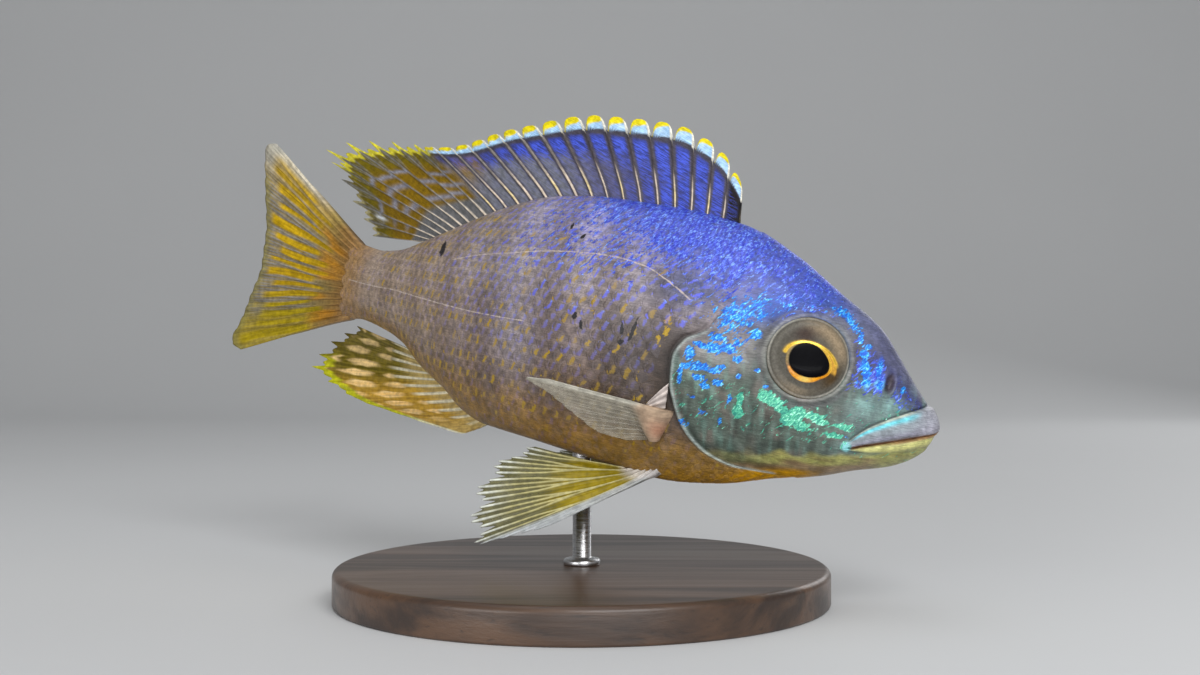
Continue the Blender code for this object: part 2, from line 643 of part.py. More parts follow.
def make_stand(parts, cutters, trunk, belly):
    """A round base and one steel rod, sunk in the base and in the belly."""
    base = rod_cylinder("stand_base", BASE_RADIUS, 0.0, BASE_HEIGHT, BASE_SIDES, parts)
    edge = base.modifiers.new("Rounded edge", "BEVEL")
    edge.width = BASE_EDGE * MM
    edge.segments = 3
    edge.limit_method = "ANGLE"
    rod = rod_cylinder("stand_rod", ROD_RADIUS, ROD_FOOT, belly + ROD_SUNK, ROD_SIDES, parts)
    around_rod = ROD_RADIUS + GAP
    for cut_piece, name, low, high in ((base, "rod_hole_in_base", ROD_FOOT - GAP, 2 * BASE_HEIGHT),
                                       (trunk, "rod_hole_in_belly", BASE_HEIGHT, belly + ROD_SUNK + GAP)):
        add_cut(cut_piece, rod_cylinder(name, around_rod, low, high, ROD_SIDES, cutters))
    return base, rod


def main():
    for old in list(bpy.data.objects):
        bpy.data.objects.remove(old)
    parts = bpy.data.collections.new("placidochromis_cichlid")
    cutters = bpy.data.collections.new("cutters")
    for collection in (parts, cutters):
        bpy.context.scene.collection.children.link(collection)

    head = make_head(parts, cutters)
    trunk = make_trunk(parts, cutters)
    finishes = {head: "head_skin", trunk: "body_skin", make_tail_stalk(parts): "tail_skin"}
    finishes.update({eye: "eye" for eye in make_eyes(parts)})
    finishes.update(make_fins(parts))

    # The fish stands with the rod's place on the belly over the origin
    belly_point = np.array([[-ROD_PLACE, 0.0, through(BELLY_LINE, np.array(ROD_PLACE))]]) * MM
    over_rod = bend(belly_point)[0]
    fish = bpy.data.objects.new("fish", None)
    fish.location = (-over_rod[0], -over_rod[1], SNOUT_HEIGHT * MM)
    parts.objects.link(fish)
    for piece in finishes:
        piece.parent = fish

    belly = SNOUT_HEIGHT + over_rod[2] / MM
    base, rod = make_stand(parts, cutters, trunk, belly)
    finishes[base] = "stand_wood"
    finishes[rod] = "stand_steel"
    made = {name: make_material(name) for name in FINISHES}
    for piece, finish in finishes.items():
        piece.data.materials.append(made[finish])


main()
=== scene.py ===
"""Looks of a life-size placidochromis cichlid on its display stand.

Shapes are worked out on the straight fish, in millimetres: a distance behind the snout, a side
(left is plus) and a height above the snout. posed() lays them along the bent body and tips the
fish nose down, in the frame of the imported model.
"""

import bpy
import numpy as np
from mathutils import Matrix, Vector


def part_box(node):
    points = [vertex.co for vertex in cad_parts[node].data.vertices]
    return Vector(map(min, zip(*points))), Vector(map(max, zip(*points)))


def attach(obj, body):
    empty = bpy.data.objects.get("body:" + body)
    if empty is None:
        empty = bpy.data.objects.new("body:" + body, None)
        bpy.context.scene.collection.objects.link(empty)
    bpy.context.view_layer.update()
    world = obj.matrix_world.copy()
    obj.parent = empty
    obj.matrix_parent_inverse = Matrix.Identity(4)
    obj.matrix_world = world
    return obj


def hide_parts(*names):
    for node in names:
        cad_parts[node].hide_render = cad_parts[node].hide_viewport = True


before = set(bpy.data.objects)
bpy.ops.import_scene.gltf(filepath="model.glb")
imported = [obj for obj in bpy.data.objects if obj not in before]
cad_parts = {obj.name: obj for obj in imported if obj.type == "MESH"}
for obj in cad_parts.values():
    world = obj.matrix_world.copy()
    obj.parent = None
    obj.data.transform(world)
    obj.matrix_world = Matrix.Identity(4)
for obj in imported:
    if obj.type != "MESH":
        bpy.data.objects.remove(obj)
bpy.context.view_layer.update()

MM = 0.001

# The body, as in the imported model
TAIL_BASE = 96.0
HEADING = [(0, 8), (31, 18), (57, 38), (81, 47), (95, 47), (124, 38)]
NOSE_DOWN = 11.0
MEAN_HEADING = 25.0
BACK_LINE = [(0, 0.6), (1.4, 1.7), (3.7, 4.0), (6.4, 7.0), (9.1, 9.8), (14.2, 13.2), (20.5, 17.1),
             (28, 20.0), (36, 20.7), (46, 20.5), (55, 19.4), (63, 16.9), (71, 13.5), (79, 10.1),
             (85, 7.9), (90, 7.2), (96, 7.6)]
BELLY_LINE = [(0, -1.9), (0.6, -3.0), (1.4, -3.9), (2.8, -4.9), (5, -6.1), (9.3, -7.5), (12.6, -8.8),
              (19, -10.7), (25, -12.6), (33, -13.7), (42, -13.2), (52, -12.8), (60, -12.7),
              (64, -11.9), (68, -10.0), (75, -7.5), (79, -5.5), (84, -4.3), (91, -3.7), (96, -4.5)]
MID_LINE = [(0, -0.85), (4, -2.2), (8, -3.55), (11, -4.4), (14, -3.8), (20, -0.8), (27, 1.8),
            (36, 3.4), (50, 3.2), (65, 2.4), (80, 1.9), (96, 1.6)]
HALF_WIDTH = [(0, 2.5), (1.2, 3.0), (3, 3.7), (6, 4.6), (10, 5.5), (14, 6.3), (18, 7.0), (22, 7.6),
              (28, 8.1), (34, 8.2), (42, 7.9), (52, 7.0), (62, 5.7), (72, 4.3), (82, 3.1),
              (90, 2.4), (96, 1.3)]
SNOUT_ROUNDING = 1.2
BACK_FULLNESS = 1.7
BELLY_FULLNESS = 2.2
ROD_PLACE = 44.0
SNOUT_HEIGHT = 23.3

# Head
LIP_LENGTH = 10.6
UPPER_LIP = 3.6
LOWER_LIP = 1.6
LIP_LINES = 0.28
MOUTH_CORNER = (10.5, -4.15)
EYE_PLACE = (16.6, 5.5)
EYE_RADIUS = 5.0
EYE_HEIGHT = 1.25
EYE_SUNK = 0.3
NOSTRIL = (6.9, 4.1)
NOSTRIL_WIDTH = 0.5
NOSTRIL_HEIGHT = 1.05
GILL_EDGE = [(25.0, 26), (25.6, 16), (27.0, 9.6), (28.6, 6.5), (30.8, 5.0), (31.8, 2.5), (31.6, -0.5),
             (30.9, -2.6), (29.9, -4.8), (28.3, -6.9), (25.9, -8.6), (22.5, -9.5), (18.5, -9.5),
             (16.2, -9.4), (14.6, -11.0), (14.2, -16)]
GILL_START = 31.8
GILL_COVER_RISE = 0.55
CHEEK_CREASE = [(22.3, 2.2), (23.2, -1.0), (23.5, -3.9), (22.6, -6.2), (19.0, -7.5), (14.5, -7.3),
                (11.2, -5.9)]
JAW_FOLD = [(11.0, -4.8), (12.4, -5.6), (13.4, -7.0), (13.6, -8.6)]

# Scales
SCALE_DEPTH = 0.12
SCALE_PITCH = 1.85
SCALE_ROW = 1.35
SCALE_LIFT = 0.03
NAPE_PITCH = 1.2
NAPE_ROW = 0.9
NAPE_LIFT = 0.025
FLANK_START = 24.0
NAPE_START = 14.0
NAPE_END = 41.0
SCALE_LENGTH = 1.75
SCALE_WIDTH = 1.05
SCALE_SHRINK = 0.22
ROWS_SHRUNK = 0.78
SCALE_STEPS_ALONG = 4
SCALE_STEPS_ACROSS = 6
UPPER_LATERAL = [(30.9, 9.6), (34.4, 11.6), (37.6, 12.8), (41.3, 13.2), (45.1, 13.0), (50.4, 12.3),
                 (56.3, 11.1), (62.8, 9.8), (68.0, 8.4)]
LOWER_LATERAL = [(51, 3.0), (57.4, 2.6), (64.7, 2.35), (73, 2.3), (80, 2.3), (86.4, 2.0), (95, 1.8)]

# Fins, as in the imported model
SPINES = 17
DORSAL_RAYS = 27
DORSAL_ROOTS = [(1, 28.6), (5, 37.2), (9, 46.8), (17, 65.4), (27, 80.4)]
DORSAL_TIPS = [(1, 29.1, 24.6), (2, 31.2, 27.3), (3, 33.6, 29.1), (5, 39.8, 30.9), (8, 49.9, 30.6),
               (12, 64.3, 27.4), (17, 81.2, 23.3), (19, 93.0, 23.2), (21, 103.4, 22.0), (22, 107.4, 20.4),
               (23.5, 103.6, 17.6), (25, 99.4, 13.4), (27, 93.8, 8.8)]
LAPPET_DROP = [(0.0, 0.36), (0.07, 0.16), (0.2, 0.03), (0.35, 0.0), (0.5, 0.04), (0.64, 0.18),
               (0.74, 0.4), (0.82, 0.72), (0.88, 0.97), (0.93, 1.0), (0.965, 0.85), (1.0, 0.36)]
NOTCH_DEPTH = [(1, 2.3), (9, 2.2), (14, 1.5), (18, 1.0)]
LOBE_BAND = 2.15
DARK_BAND = 0.95
ANAL_RAYS = 12
ANAL_ROOTS = [(1, 60.2), (12, 78.2)]
ANAL_TIPS = [(1, 63.4, -14.3), (1.6, 66.0, -15.2), (3, 75.4, -15.4), (5, 86.5, -15.4), (7, 97.0, -14.2),
             (8, 102.4, -12.9), (9, 101.6, -10.8), (10, 99.6, -8.4), (12, 93.6, -4.9)]
TAIL_RAYS = 16
TAIL_ROOTS = [(1, 7.5), (16, -4.4)]
TAIL_ROOT_SUNK = 0.6
TAIL_TIPS = [(1, 121.6, 20.0), (1.5, 123.8, 19.8), (2, 124.3, 18.4), (4, 123.0, 13.2), (7, 119.8, 5.0),
             (9, 119.4, 0.8), (12, 122.1, -5.4), (14, 124.0, -9.6), (15.2, 125.3, -12.6),
             (15.6, 124.9, -13.5), (16, 122.4, -14.0)]
PECTORAL_RAYS = 12
PECTORAL_BASE = [(1, 31.9, -3.9), (12, 32.5, -7.9)]
PECTORAL_TIPS = [(1, 45.5, -3.2, 9.3), (2.5, 48.4, -3.7, 9.5), (5, 45.4, -4.8, 9.4),
                 (8, 41.4, -6.9, 9.2), (10, 38.3, -8.3, 8.9), (12, 35.3, -8.5, 8.5)]
PELVIC_RAYS = 6
PELVIC_BASE = [(1, 32.2, 3.5), (6, 36.0, 1.9)]
PELVIC_TIPS = [(1, 43.5, 7.6, -21.9), (2, 51.3, 9.2, -26.2), (3, 53.0, 8.9, -23.4),
               (4, 53.5, 8.0, -19.8), (5, 52.5, 6.4, -16.0), (6, 49.4, 4.0, -12.9)]
FOLDED_SHARE = 0.72

# Stand
ROD_RADIUS = 1.2
ROD_HOLE = 1.45
BASE_RADIUS = 32.0
BASE_HEIGHT = 4.5
BASE_EDGE = 0.9

# Colours, as linear red, green and blue
COLOURS = {
    "flank": (0.20, 0.155, 0.145), "upper_flank": (0.33, 0.29, 0.30), "back": (0.27, 0.26, 0.46),
    "rear_back": (0.23, 0.20, 0.20), "stalk": (0.30, 0.225, 0.165), "low_flank": (0.165, 0.11, 0.075),
    "belly": (0.28, 0.155, 0.03), "chest": (0.26, 0.15, 0.035), "throat": (0.64, 0.32, 0.002),
    "nape": (0.055, 0.08, 0.36), "crown": (0.13, 0.135, 0.19), "snout": (0.05, 0.055, 0.14),
    "cheek": (0.075, 0.10, 0.082), "snout_side": (0.12, 0.19, 0.19), "jaw": (0.35, 0.34, 0.095),
    "upper_lip": (0.24, 0.28, 0.31), "lower_lip": (0.52, 0.51, 0.19), "mouth": (0.27, 0.125, 0.055),
    "violet": (0.035, 0.05, 0.50), "bright_violet": (0.08, 0.14, 0.68),
    # glint_violet, glint_cyan and glint_mint are painted glints in the flecks
    "glint_violet": (0.22, 0.40, 0.95), "blue": (0.008, 0.09, 0.55), "cyan": (0.01, 0.30, 0.86),
    "glint_cyan": (0.22, 0.72, 1.0), "teal": (0.03, 0.28, 0.22), "mint": (0.10, 0.56, 0.34),
    "glint_mint": (0.42, 0.92, 0.72), "yellow": (0.38, 0.24, 0.006), "black": (0.012, 0.01, 0.012),
    "pale": (0.55, 0.46, 0.40), "tail_root": (0.32, 0.185, 0.07), "gill_line": (0.42, 0.50, 0.48),
    "lilac": (0.36, 0.34, 0.42), "over_eye": (0.012, 0.07, 0.42), "dash_violet": (0.11, 0.13, 0.72),
    # dash_glint is a painted glint at the upper end of each dash
    "dash_glint": (0.24, 0.36, 0.98),
}


def tone(colour):
    """A colour by its name, or as it is."""
    return np.array(COLOURS[colour] if isinstance(colour, str) else colour)


def through(points, x, column=1):
    """A smooth line through the points that never swings past them, read at x."""
    known = np.array([p[0] for p in points], float)
    value = np.array([p[column] for p in points], float)
    step = np.diff(known)
    secant = np.diff(value) / step
    slope = np.empty_like(value)
    slope[0], slope[-1] = secant[0], secant[-1]
    before, after = secant[:-1], secant[1:]
    weight_before, weight_after = 2 * step[1:] + step[:-1], step[1:] + 2 * step[:-1]
    turning = before * after <= 0
    shared = np.where(turning, 1.0, before * after)
    mean = (weight_before + weight_after) * shared / (
        weight_before * np.where(turning, 1.0, after) + weight_after * np.where(turning, 1.0, before))
    slope[1:-1] = np.where(turning, 0.0, mean)
    x = np.clip(x, known[0], known[-1])
    i = np.clip(np.searchsorted(known, x, side="right") - 1, 0, len(step) - 1)
    t = (x - known[i]) / step[i]
    return (value[i] * (1 + 2 * t) * (1 - t) ** 2 + slope[i] * step[i] * t * (1 - t) ** 2
            + value[i + 1] * t ** 2 * (3 - 2 * t) + slope[i + 1] * step[i] * t ** 2 * (t - 1))


def smooth_step(x):
    """Rises softly from 0 to 1 as x goes from 0 to 1."""
    x = np.clip(x, 0.0, 1.0)
    return x * x * (3 - 2 * x)


def ramp(x, start, run):
    """Rises softly from 0 at start to 1 a run further on."""
    return smooth_step((x - start) / run)


def fall(x, end, run):
    """Falls softly to 0 at end, from 1 a run before it."""
    return smooth_step((end - x) / run)


def bump(x, width):
    """A soft hump, 1 at x = 0."""
    return np.exp(-(x / width) ** 2)


def blended(first, second, share):
    """The colour first where share is 0 and second where it is 1."""
    first = tone(first)
    return first + (tone(second) - first) * np.asarray(share)[..., None]


def painted(ground, *coats):
    """The ground under coats of paint, each a colour and how thickly it lies, the last on top."""
    for colour, share in coats:
        ground = blended(ground, colour, share)
    return ground


def away_from(points, s, height):
    """Distance in the plane of the flank to the line through the points."""
    nearest = np.full(np.shape(s), 1e3)
    for (s0, h0), (s1, h1) in zip(points[:-1], points[1:]):
        length2 = (s1 - s0) ** 2 + (h1 - h0) ** 2
        t = np.clip(((s - s0) * (s1 - s0) + (height - h0) * (h1 - h0)) / length2, 0, 1)
        nearest = np.minimum(nearest, np.hypot(s - s0 - t * (s1 - s0), height - h0 - t * (h1 - h0)))
    return nearest


def smoothed(points, count=60):
    """The same line with more points on it, along its own curve."""
    numbered = [(i, *p) for i, p in enumerate(points)]
    t = np.linspace(0, len(points) - 1, count)
    return list(zip(through(numbered, t, 1), through(numbered, t, 2)))


RUN = np.arange(-10.0, 136.0, 0.25)
RUN_HEADING = np.radians(through(HEADING, RUN))


def summed(rate):
    """The running total of a rate along RUN, nought at the snout."""
    total = np.concatenate([[0.0], np.cumsum((rate[1:] + rate[:-1]) / 2 * np.diff(RUN))])
    return total - np.interp(0.0, RUN, total)


RUN_X = -summed(np.cos(RUN_HEADING))
RUN_Y = summed(np.sin(RUN_HEADING))
MEAN = np.radians(MEAN_HEADING)
TIP = np.array(Matrix.Rotation(np.radians(NOSE_DOWN), 3, (np.sin(MEAN), np.cos(MEAN), 0.0)))


def bent(places):
    """Straight fish to the bent and tipped one, in millimetres from the snout."""
    s, left, up = np.moveaxis(np.asarray(places, float), -1, 0)
    turn = np.interp(s, RUN, RUN_HEADING)
    x = np.interp(s, RUN, RUN_X) + left * np.sin(turn)
    y = np.interp(s, RUN, RUN_Y) + left * np.cos(turn)
    return np.stack([x, y, up], -1) @ TIP.T


OVER_ROD = bent([[ROD_PLACE, 0.0, float(through(BELLY_LINE, np.array(ROD_PLACE)))]])[0]
SET_DOWN = np.array([-OVER_ROD[0], -OVER_ROD[1], SNOUT_HEIGHT])


def posed(places):
    """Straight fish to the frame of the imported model, in metres."""
    return (bent(places) + SET_DOWN) * MM


def reach_from_mid(s, upper):
    """How far the back stands over the mid line, or the belly under it."""
    mid = through(MID_LINE, s)
    return np.where(upper, through(BACK_LINE, s) - mid, mid - through(BELLY_LINE, s))


def section(s, angle):
    """Skin of the straight body: angle 0 is the left side, 90 degrees the back, -90 the belly.
    side = width cos^(2 / fullness); height leaves the mid line for the back or belly as sin."""
    mid, width = through(MID_LINE, s), through(HALF_WIDTH, s)
    blunt = np.sqrt(1 - (1 - np.clip(s / SNOUT_ROUNDING, 0, 1)) ** 2)
    upper = np.sin(angle) > 0
    reach = reach_from_mid(s, upper)
    power = 2 / np.where(upper, BACK_FULLNESS, BELLY_FULLNESS)
    side = width * np.sign(np.cos(angle)) * np.abs(np.cos(angle)) ** power
    return np.stack([s + 0 * angle, side * blunt, mid + reach * blunt * np.sin(angle)], -1)


def flank(s, height):
    """How far out the skin is at a height on the side of the body."""
    mid = through(MID_LINE, s)
    upper = height > mid
    reach = reach_from_mid(s, upper)
    share = np.clip(np.abs(height - mid) / reach, 0, 1)
    return through(HALF_WIDTH,
                   s) * (1 - share ** 2) ** (1 / np.where(upper, BACK_FULLNESS, BELLY_FULLNESS))


def underside(s, side):
    """How low the belly is at a side."""
    mid = through(MID_LINE, s)
    share = np.clip(np.abs(side) / through(HALF_WIDTH, s), 0, 1)
    return mid - (mid - through(BELLY_LINE, s)) * np.sqrt(1 - share ** BELLY_FULLNESS)


def section_normal(s, angle):
    """Outward unit normal of the plain section, from its slopes along and around the body."""
    small = 0.02
    along = section(s + small, angle) - section(np.maximum(s - small, 0), angle)
    around = section(s, angle + small) - section(s, angle - small)
    normal = np.cross(along, around)
    length = np.linalg.norm(normal, axis=-1, keepdims=True)
    return np.where(length > 1e-9, -normal / np.maximum(length, 1e-9), (-1.0, 0.0, 0.0))


def gill_angles():
    """The gill cover's edge as an angle round the section and a distance behind the snout."""
    line = np.array(smoothed(GILL_EDGE, 200))
    mid = through(MID_LINE, line[:, 0])
    reach = reach_from_mid(line[:, 0], line[:, 1] > mid)
    angle = np.arcsin(np.clip((line[:, 1] - mid) / reach, -1, 1))
    order = np.argsort(angle, kind="stable")
    return angle[order], line[order, 0]


GILL_ANGLES, GILL_PLACES = gill_angles()


def folded_angle(angle):
    """The same height on the left side: an angle from -90 to 90 degrees."""
    return np.arcsin(np.clip(np.sin(angle), -1, 1))


def gill_at(angle):
    """Distance behind the snout of the gill cover's edge at an angle round the body."""
    return np.interp(folded_angle(angle), GILL_ANGLES, GILL_PLACES)


def eye_frame(hand):
    """Centre of the eye on the skin, with its forward, up and outward directions."""
    mid = through(MID_LINE, EYE_PLACE[0])
    reach = through(BACK_LINE, EYE_PLACE[0]) - mid
    left_angle = np.arcsin((EYE_PLACE[1] - mid) / reach)
    angle = left_angle if hand > 0 else np.pi - left_angle
    s = np.array(EYE_PLACE[0])
    outward = section_normal(s, np.array(angle))
    centre = section(s, np.array(angle))
    forward = np.array([-1.0, 0, 0])
    forward = forward - outward * (forward @ outward)
    forward = forward / np.linalg.norm(forward)
    up = np.cross(forward, outward) * hand
    up = up * np.sign(up[2])
    return centre, forward, up, outward


def lip_widths(s):
    """Width of the upper lip, a quarter ellipse along its length, and of the lower lip."""
    along = np.clip(s / LIP_LENGTH, 0, 1)
    return UPPER_LIP * np.sqrt(1 - along ** 2), LOWER_LIP * (1 - along ** 4)


def from_nostril(s, height):
    """Distance to the nostril's middle, as a share of its oval."""
    return np.hypot((s - NOSTRIL[0]) / NOSTRIL_WIDTH, (height - NOSTRIL[1]) / NOSTRIL_HEIGHT)


def from_spot(spot, s, height):
    """Distance in the plane of the flank to a spot."""
    return np.hypot(s - spot[0], height - spot[1])


def relief(at, angle):
    """How far the finished skin lies over the plain section: lips and the line of the mouth, the
    eye's socket and rim, nostrils, folds of cheek and jaw, and the gill cover over the body."""
    s, side, height = np.moveaxis(at, -1, 0)
    rise = height - through(MID_LINE, s)
    upper_width, lower_width = lip_widths(s)
    upper = np.clip(rise / np.maximum(upper_width, 0.1), 0, 1)
    lower = np.clip(-rise / np.maximum(lower_width, 0.1), 0, 1)
    front = ramp(s, 0, 3.5)
    lips = 0.5 * ramp(upper, 0, 0.2) * fall(upper, 1, 0.2) * (0.3 + 0.7 * front)
    lips = lips + (0.65 * front - 0.3) * ramp(lower, 0, 0.3) * fall(lower, 1, 0.5)
    lips = lips - 0.3 * (1 - front) * (rise < 0) * ramp(lower, 0.5, 0.5)
    lips = lips - 0.4 * bump(rise, 0.11) - 0.12 * bump(rise - upper_width - 0.1, 0.14)
    lips = lips - 0.05 * bump(-rise - lower_width - 0.2, 0.25)
    total = lips * fall(s, LIP_LENGTH, 0.8)
    total = total + 0.22 * bump(from_spot(MOUTH_CORNER, s, height), 0.55)

    for hand in (1, -1):
        centre, forward, up, _ = eye_frame(hand)
        away = np.hypot((at - centre) @ forward, (at - centre) @ up)
        near = side * hand > 0
        socket = -1.5 * fall(away, EYE_RADIUS - 0.12, 0.5)
        rim = 0.12 * bump(away - EYE_RADIUS - 0.15, 0.3) - 0.06 * bump(away - EYE_RADIUS - 0.8, 0.4)
        total = total + np.where(near, socket + rim, 0.0)
    pit = from_nostril(s, height)
    total = total - 0.35 * fall(pit, 1.25, 0.9) + 0.06 * bump(pit - 1.5, 0.35)
    crown = ramp(rise / (through(BACK_LINE, s) - height + rise), 0.55, 0.35)
    total = total + 0.4 * bump(s - 9.5, 5.0) * crown
    crease = smoothed(CHEEK_CREASE)
    total = total - 0.08 * bump(away_from(crease, s, height), 0.35)
    total = total + 0.10 * bump(away_from(crease, s - 0.9, height), 0.9)
    total = total - 0.08 * bump(away_from(smoothed(JAW_FOLD), s, height), 0.3)
    total = total + 0.035 * wavy(s, height, 2.6, 21) * ramp(s, 9, 4) * (np.abs(side) > 2)

    behind = s - gill_at(angle)
    step = fall(np.abs(folded_angle(angle) + 0.3) / 1.1, 0.75, 0.25)
    cover = GILL_COVER_RISE * ramp(s, 22, 8) * fall(height, 11, 4)
    flap = cover * (1 - ramp(behind, 0, 0.16)) - 0.1 * bump(behind + 0.75, 0.4) * step
    groove = -0.25 * bump(behind - 0.35, 0.3) * step
    coat = -SCALE_DEPTH * ramp(behind, 0, 0.5)
    return total * (1 - ramp(behind, 0, 0.3)) + flap + groove + coat


def skin_surface(s, angle, lift=0.0):
    """The finished skin, or a sheet lifted over it."""
    at = section(s, angle)
    return at + section_normal(s, angle) * (relief(at, angle) + lift)[..., None]


# Patterns of colour that are worked out at the points of skin and scales

HEAD_MARKS = {
    "cyan": [(29.9, 3.6, 0.5, 0.9), (28.4, 4.8, 1.1, 0.35), (27.1, 4.6, 0.9, 0.5),
             (27.1, 6.0, 0.8, 0.3), (25.6, 4.9, 0.8, 0.5), (24.8, 5.6, 0.4, 0.5), (22.9, 7.1, 0.6, 0.5),
             (22.1, 3.0, 0.4, 0.3), (29.6, 1.9, 0.9, 0.35), (28.5, 2.2, 1.0, 0.5),
             (27.0, 2.0, 1.0, 0.35), (26.0, 2.6, 0.6, 0.2), (30.5, 1.0, 0.25, 1.2),
             (28.2, 0.8, 0.8, 0.4), (27.5, 0.0, 0.6, 0.3), (26.1, 0.7, 0.6, 0.5), (24.4, 3.8, 0.5, 0.4),
             (23.9, 1.9, 0.35, 0.35), (8.4, 5.6, 0.35, 1.2), (8.0, 3.7, 0.55, 0.5),
             (9.5, 3.6, 0.5, 0.6), (9.7, 5.0, 0.4, 0.8), (10.6, 7.0, 0.5, 0.3), (9.9, 7.9, 0.4, 0.3),
             (10.7, -2.9, 0.4, 0.25), (20.6, 1.2, 0.4, 0.25), (27.4, -3.2, 0.7, 0.3),
             (5.3, 3.6, 0.5, 0.5), (29.3, -5.1, 0.8, 0.5), (24.5, -1.3, 0.3, 0.6),
             (28.9, -1.6, 0.5, 0.3), (25.2, -3.9, 0.3, 0.5)],
    "mint": [(20.3, 0.1, 0.8, 0.6), (19.3, -0.4, 0.7, 0.5), (18.4, -1.1, 0.6, 0.4),
             (17.3, -1.9, 0.9, 0.8), (16.6, -0.9, 0.7, 0.4), (16.0, -2.6, 0.8, 0.45),
             (14.9, -1.2, 1.0, 0.3), (13.8, -1.8, 0.7, 0.25), (11.1, -1.9, 0.9, 0.3),
             (23.3, -1.0, 0.25, 0.8), (23.3, -2.4, 0.5, 0.6), (12.0, -3.1, 0.8, 0.25)],
}
FLECKS = [(71.3, 9.5, 0.62, 1.0, -24), (44.4, 5.0, 0.28, 0.45, 10), (43.4, 4.1, 0.22, 0.5, -15),
          (38.3, 4.6, 0.22, 0.7, -10), (38.2, 3.1, 0.3, 0.4, 30), (37.0, 4.7, 0.2, 1.4, 10),
          (48.5, 15.9, 0.2, 0.35, 0), (46.4, 14.9, 0.25, 0.4, 40)]
YELLOW_DASHES = [(33.2, 6.3, 0.45, 1.6), (42.4, 6.8, 0.4, 1.2), (33.9, 4.4, 0.35, 0.8)]


def marked(marks, s, height):
    """How deep inside the nearest of some oval marks a point is: 1 at its middle, 0 outside."""
    deepest = np.zeros(np.shape(s))
    for place, level, half_length, half_height in marks:
        away = np.hypot((s - place) / half_length, (height - level) / half_height)
        deepest = np.maximum(deepest, fall(away, 1.85, 1.4))
    return deepest


def wavy(s, height, length, seed):
    """A soft random field from -1 to 1: eight waves of about one length in seeded directions."""
    draw = np.random.default_rng(seed)
    total = 0.0
    for _ in range(8):
        turn, phase, size = draw.uniform(0, np.pi), draw.uniform(0, 2 * np.pi), draw.uniform(0.7, 1.4)
        along = s * np.cos(turn) + height * np.sin(turn)
        total = total + np.sin(2 * np.pi * along / (length * size) + phase)
    return total / 4


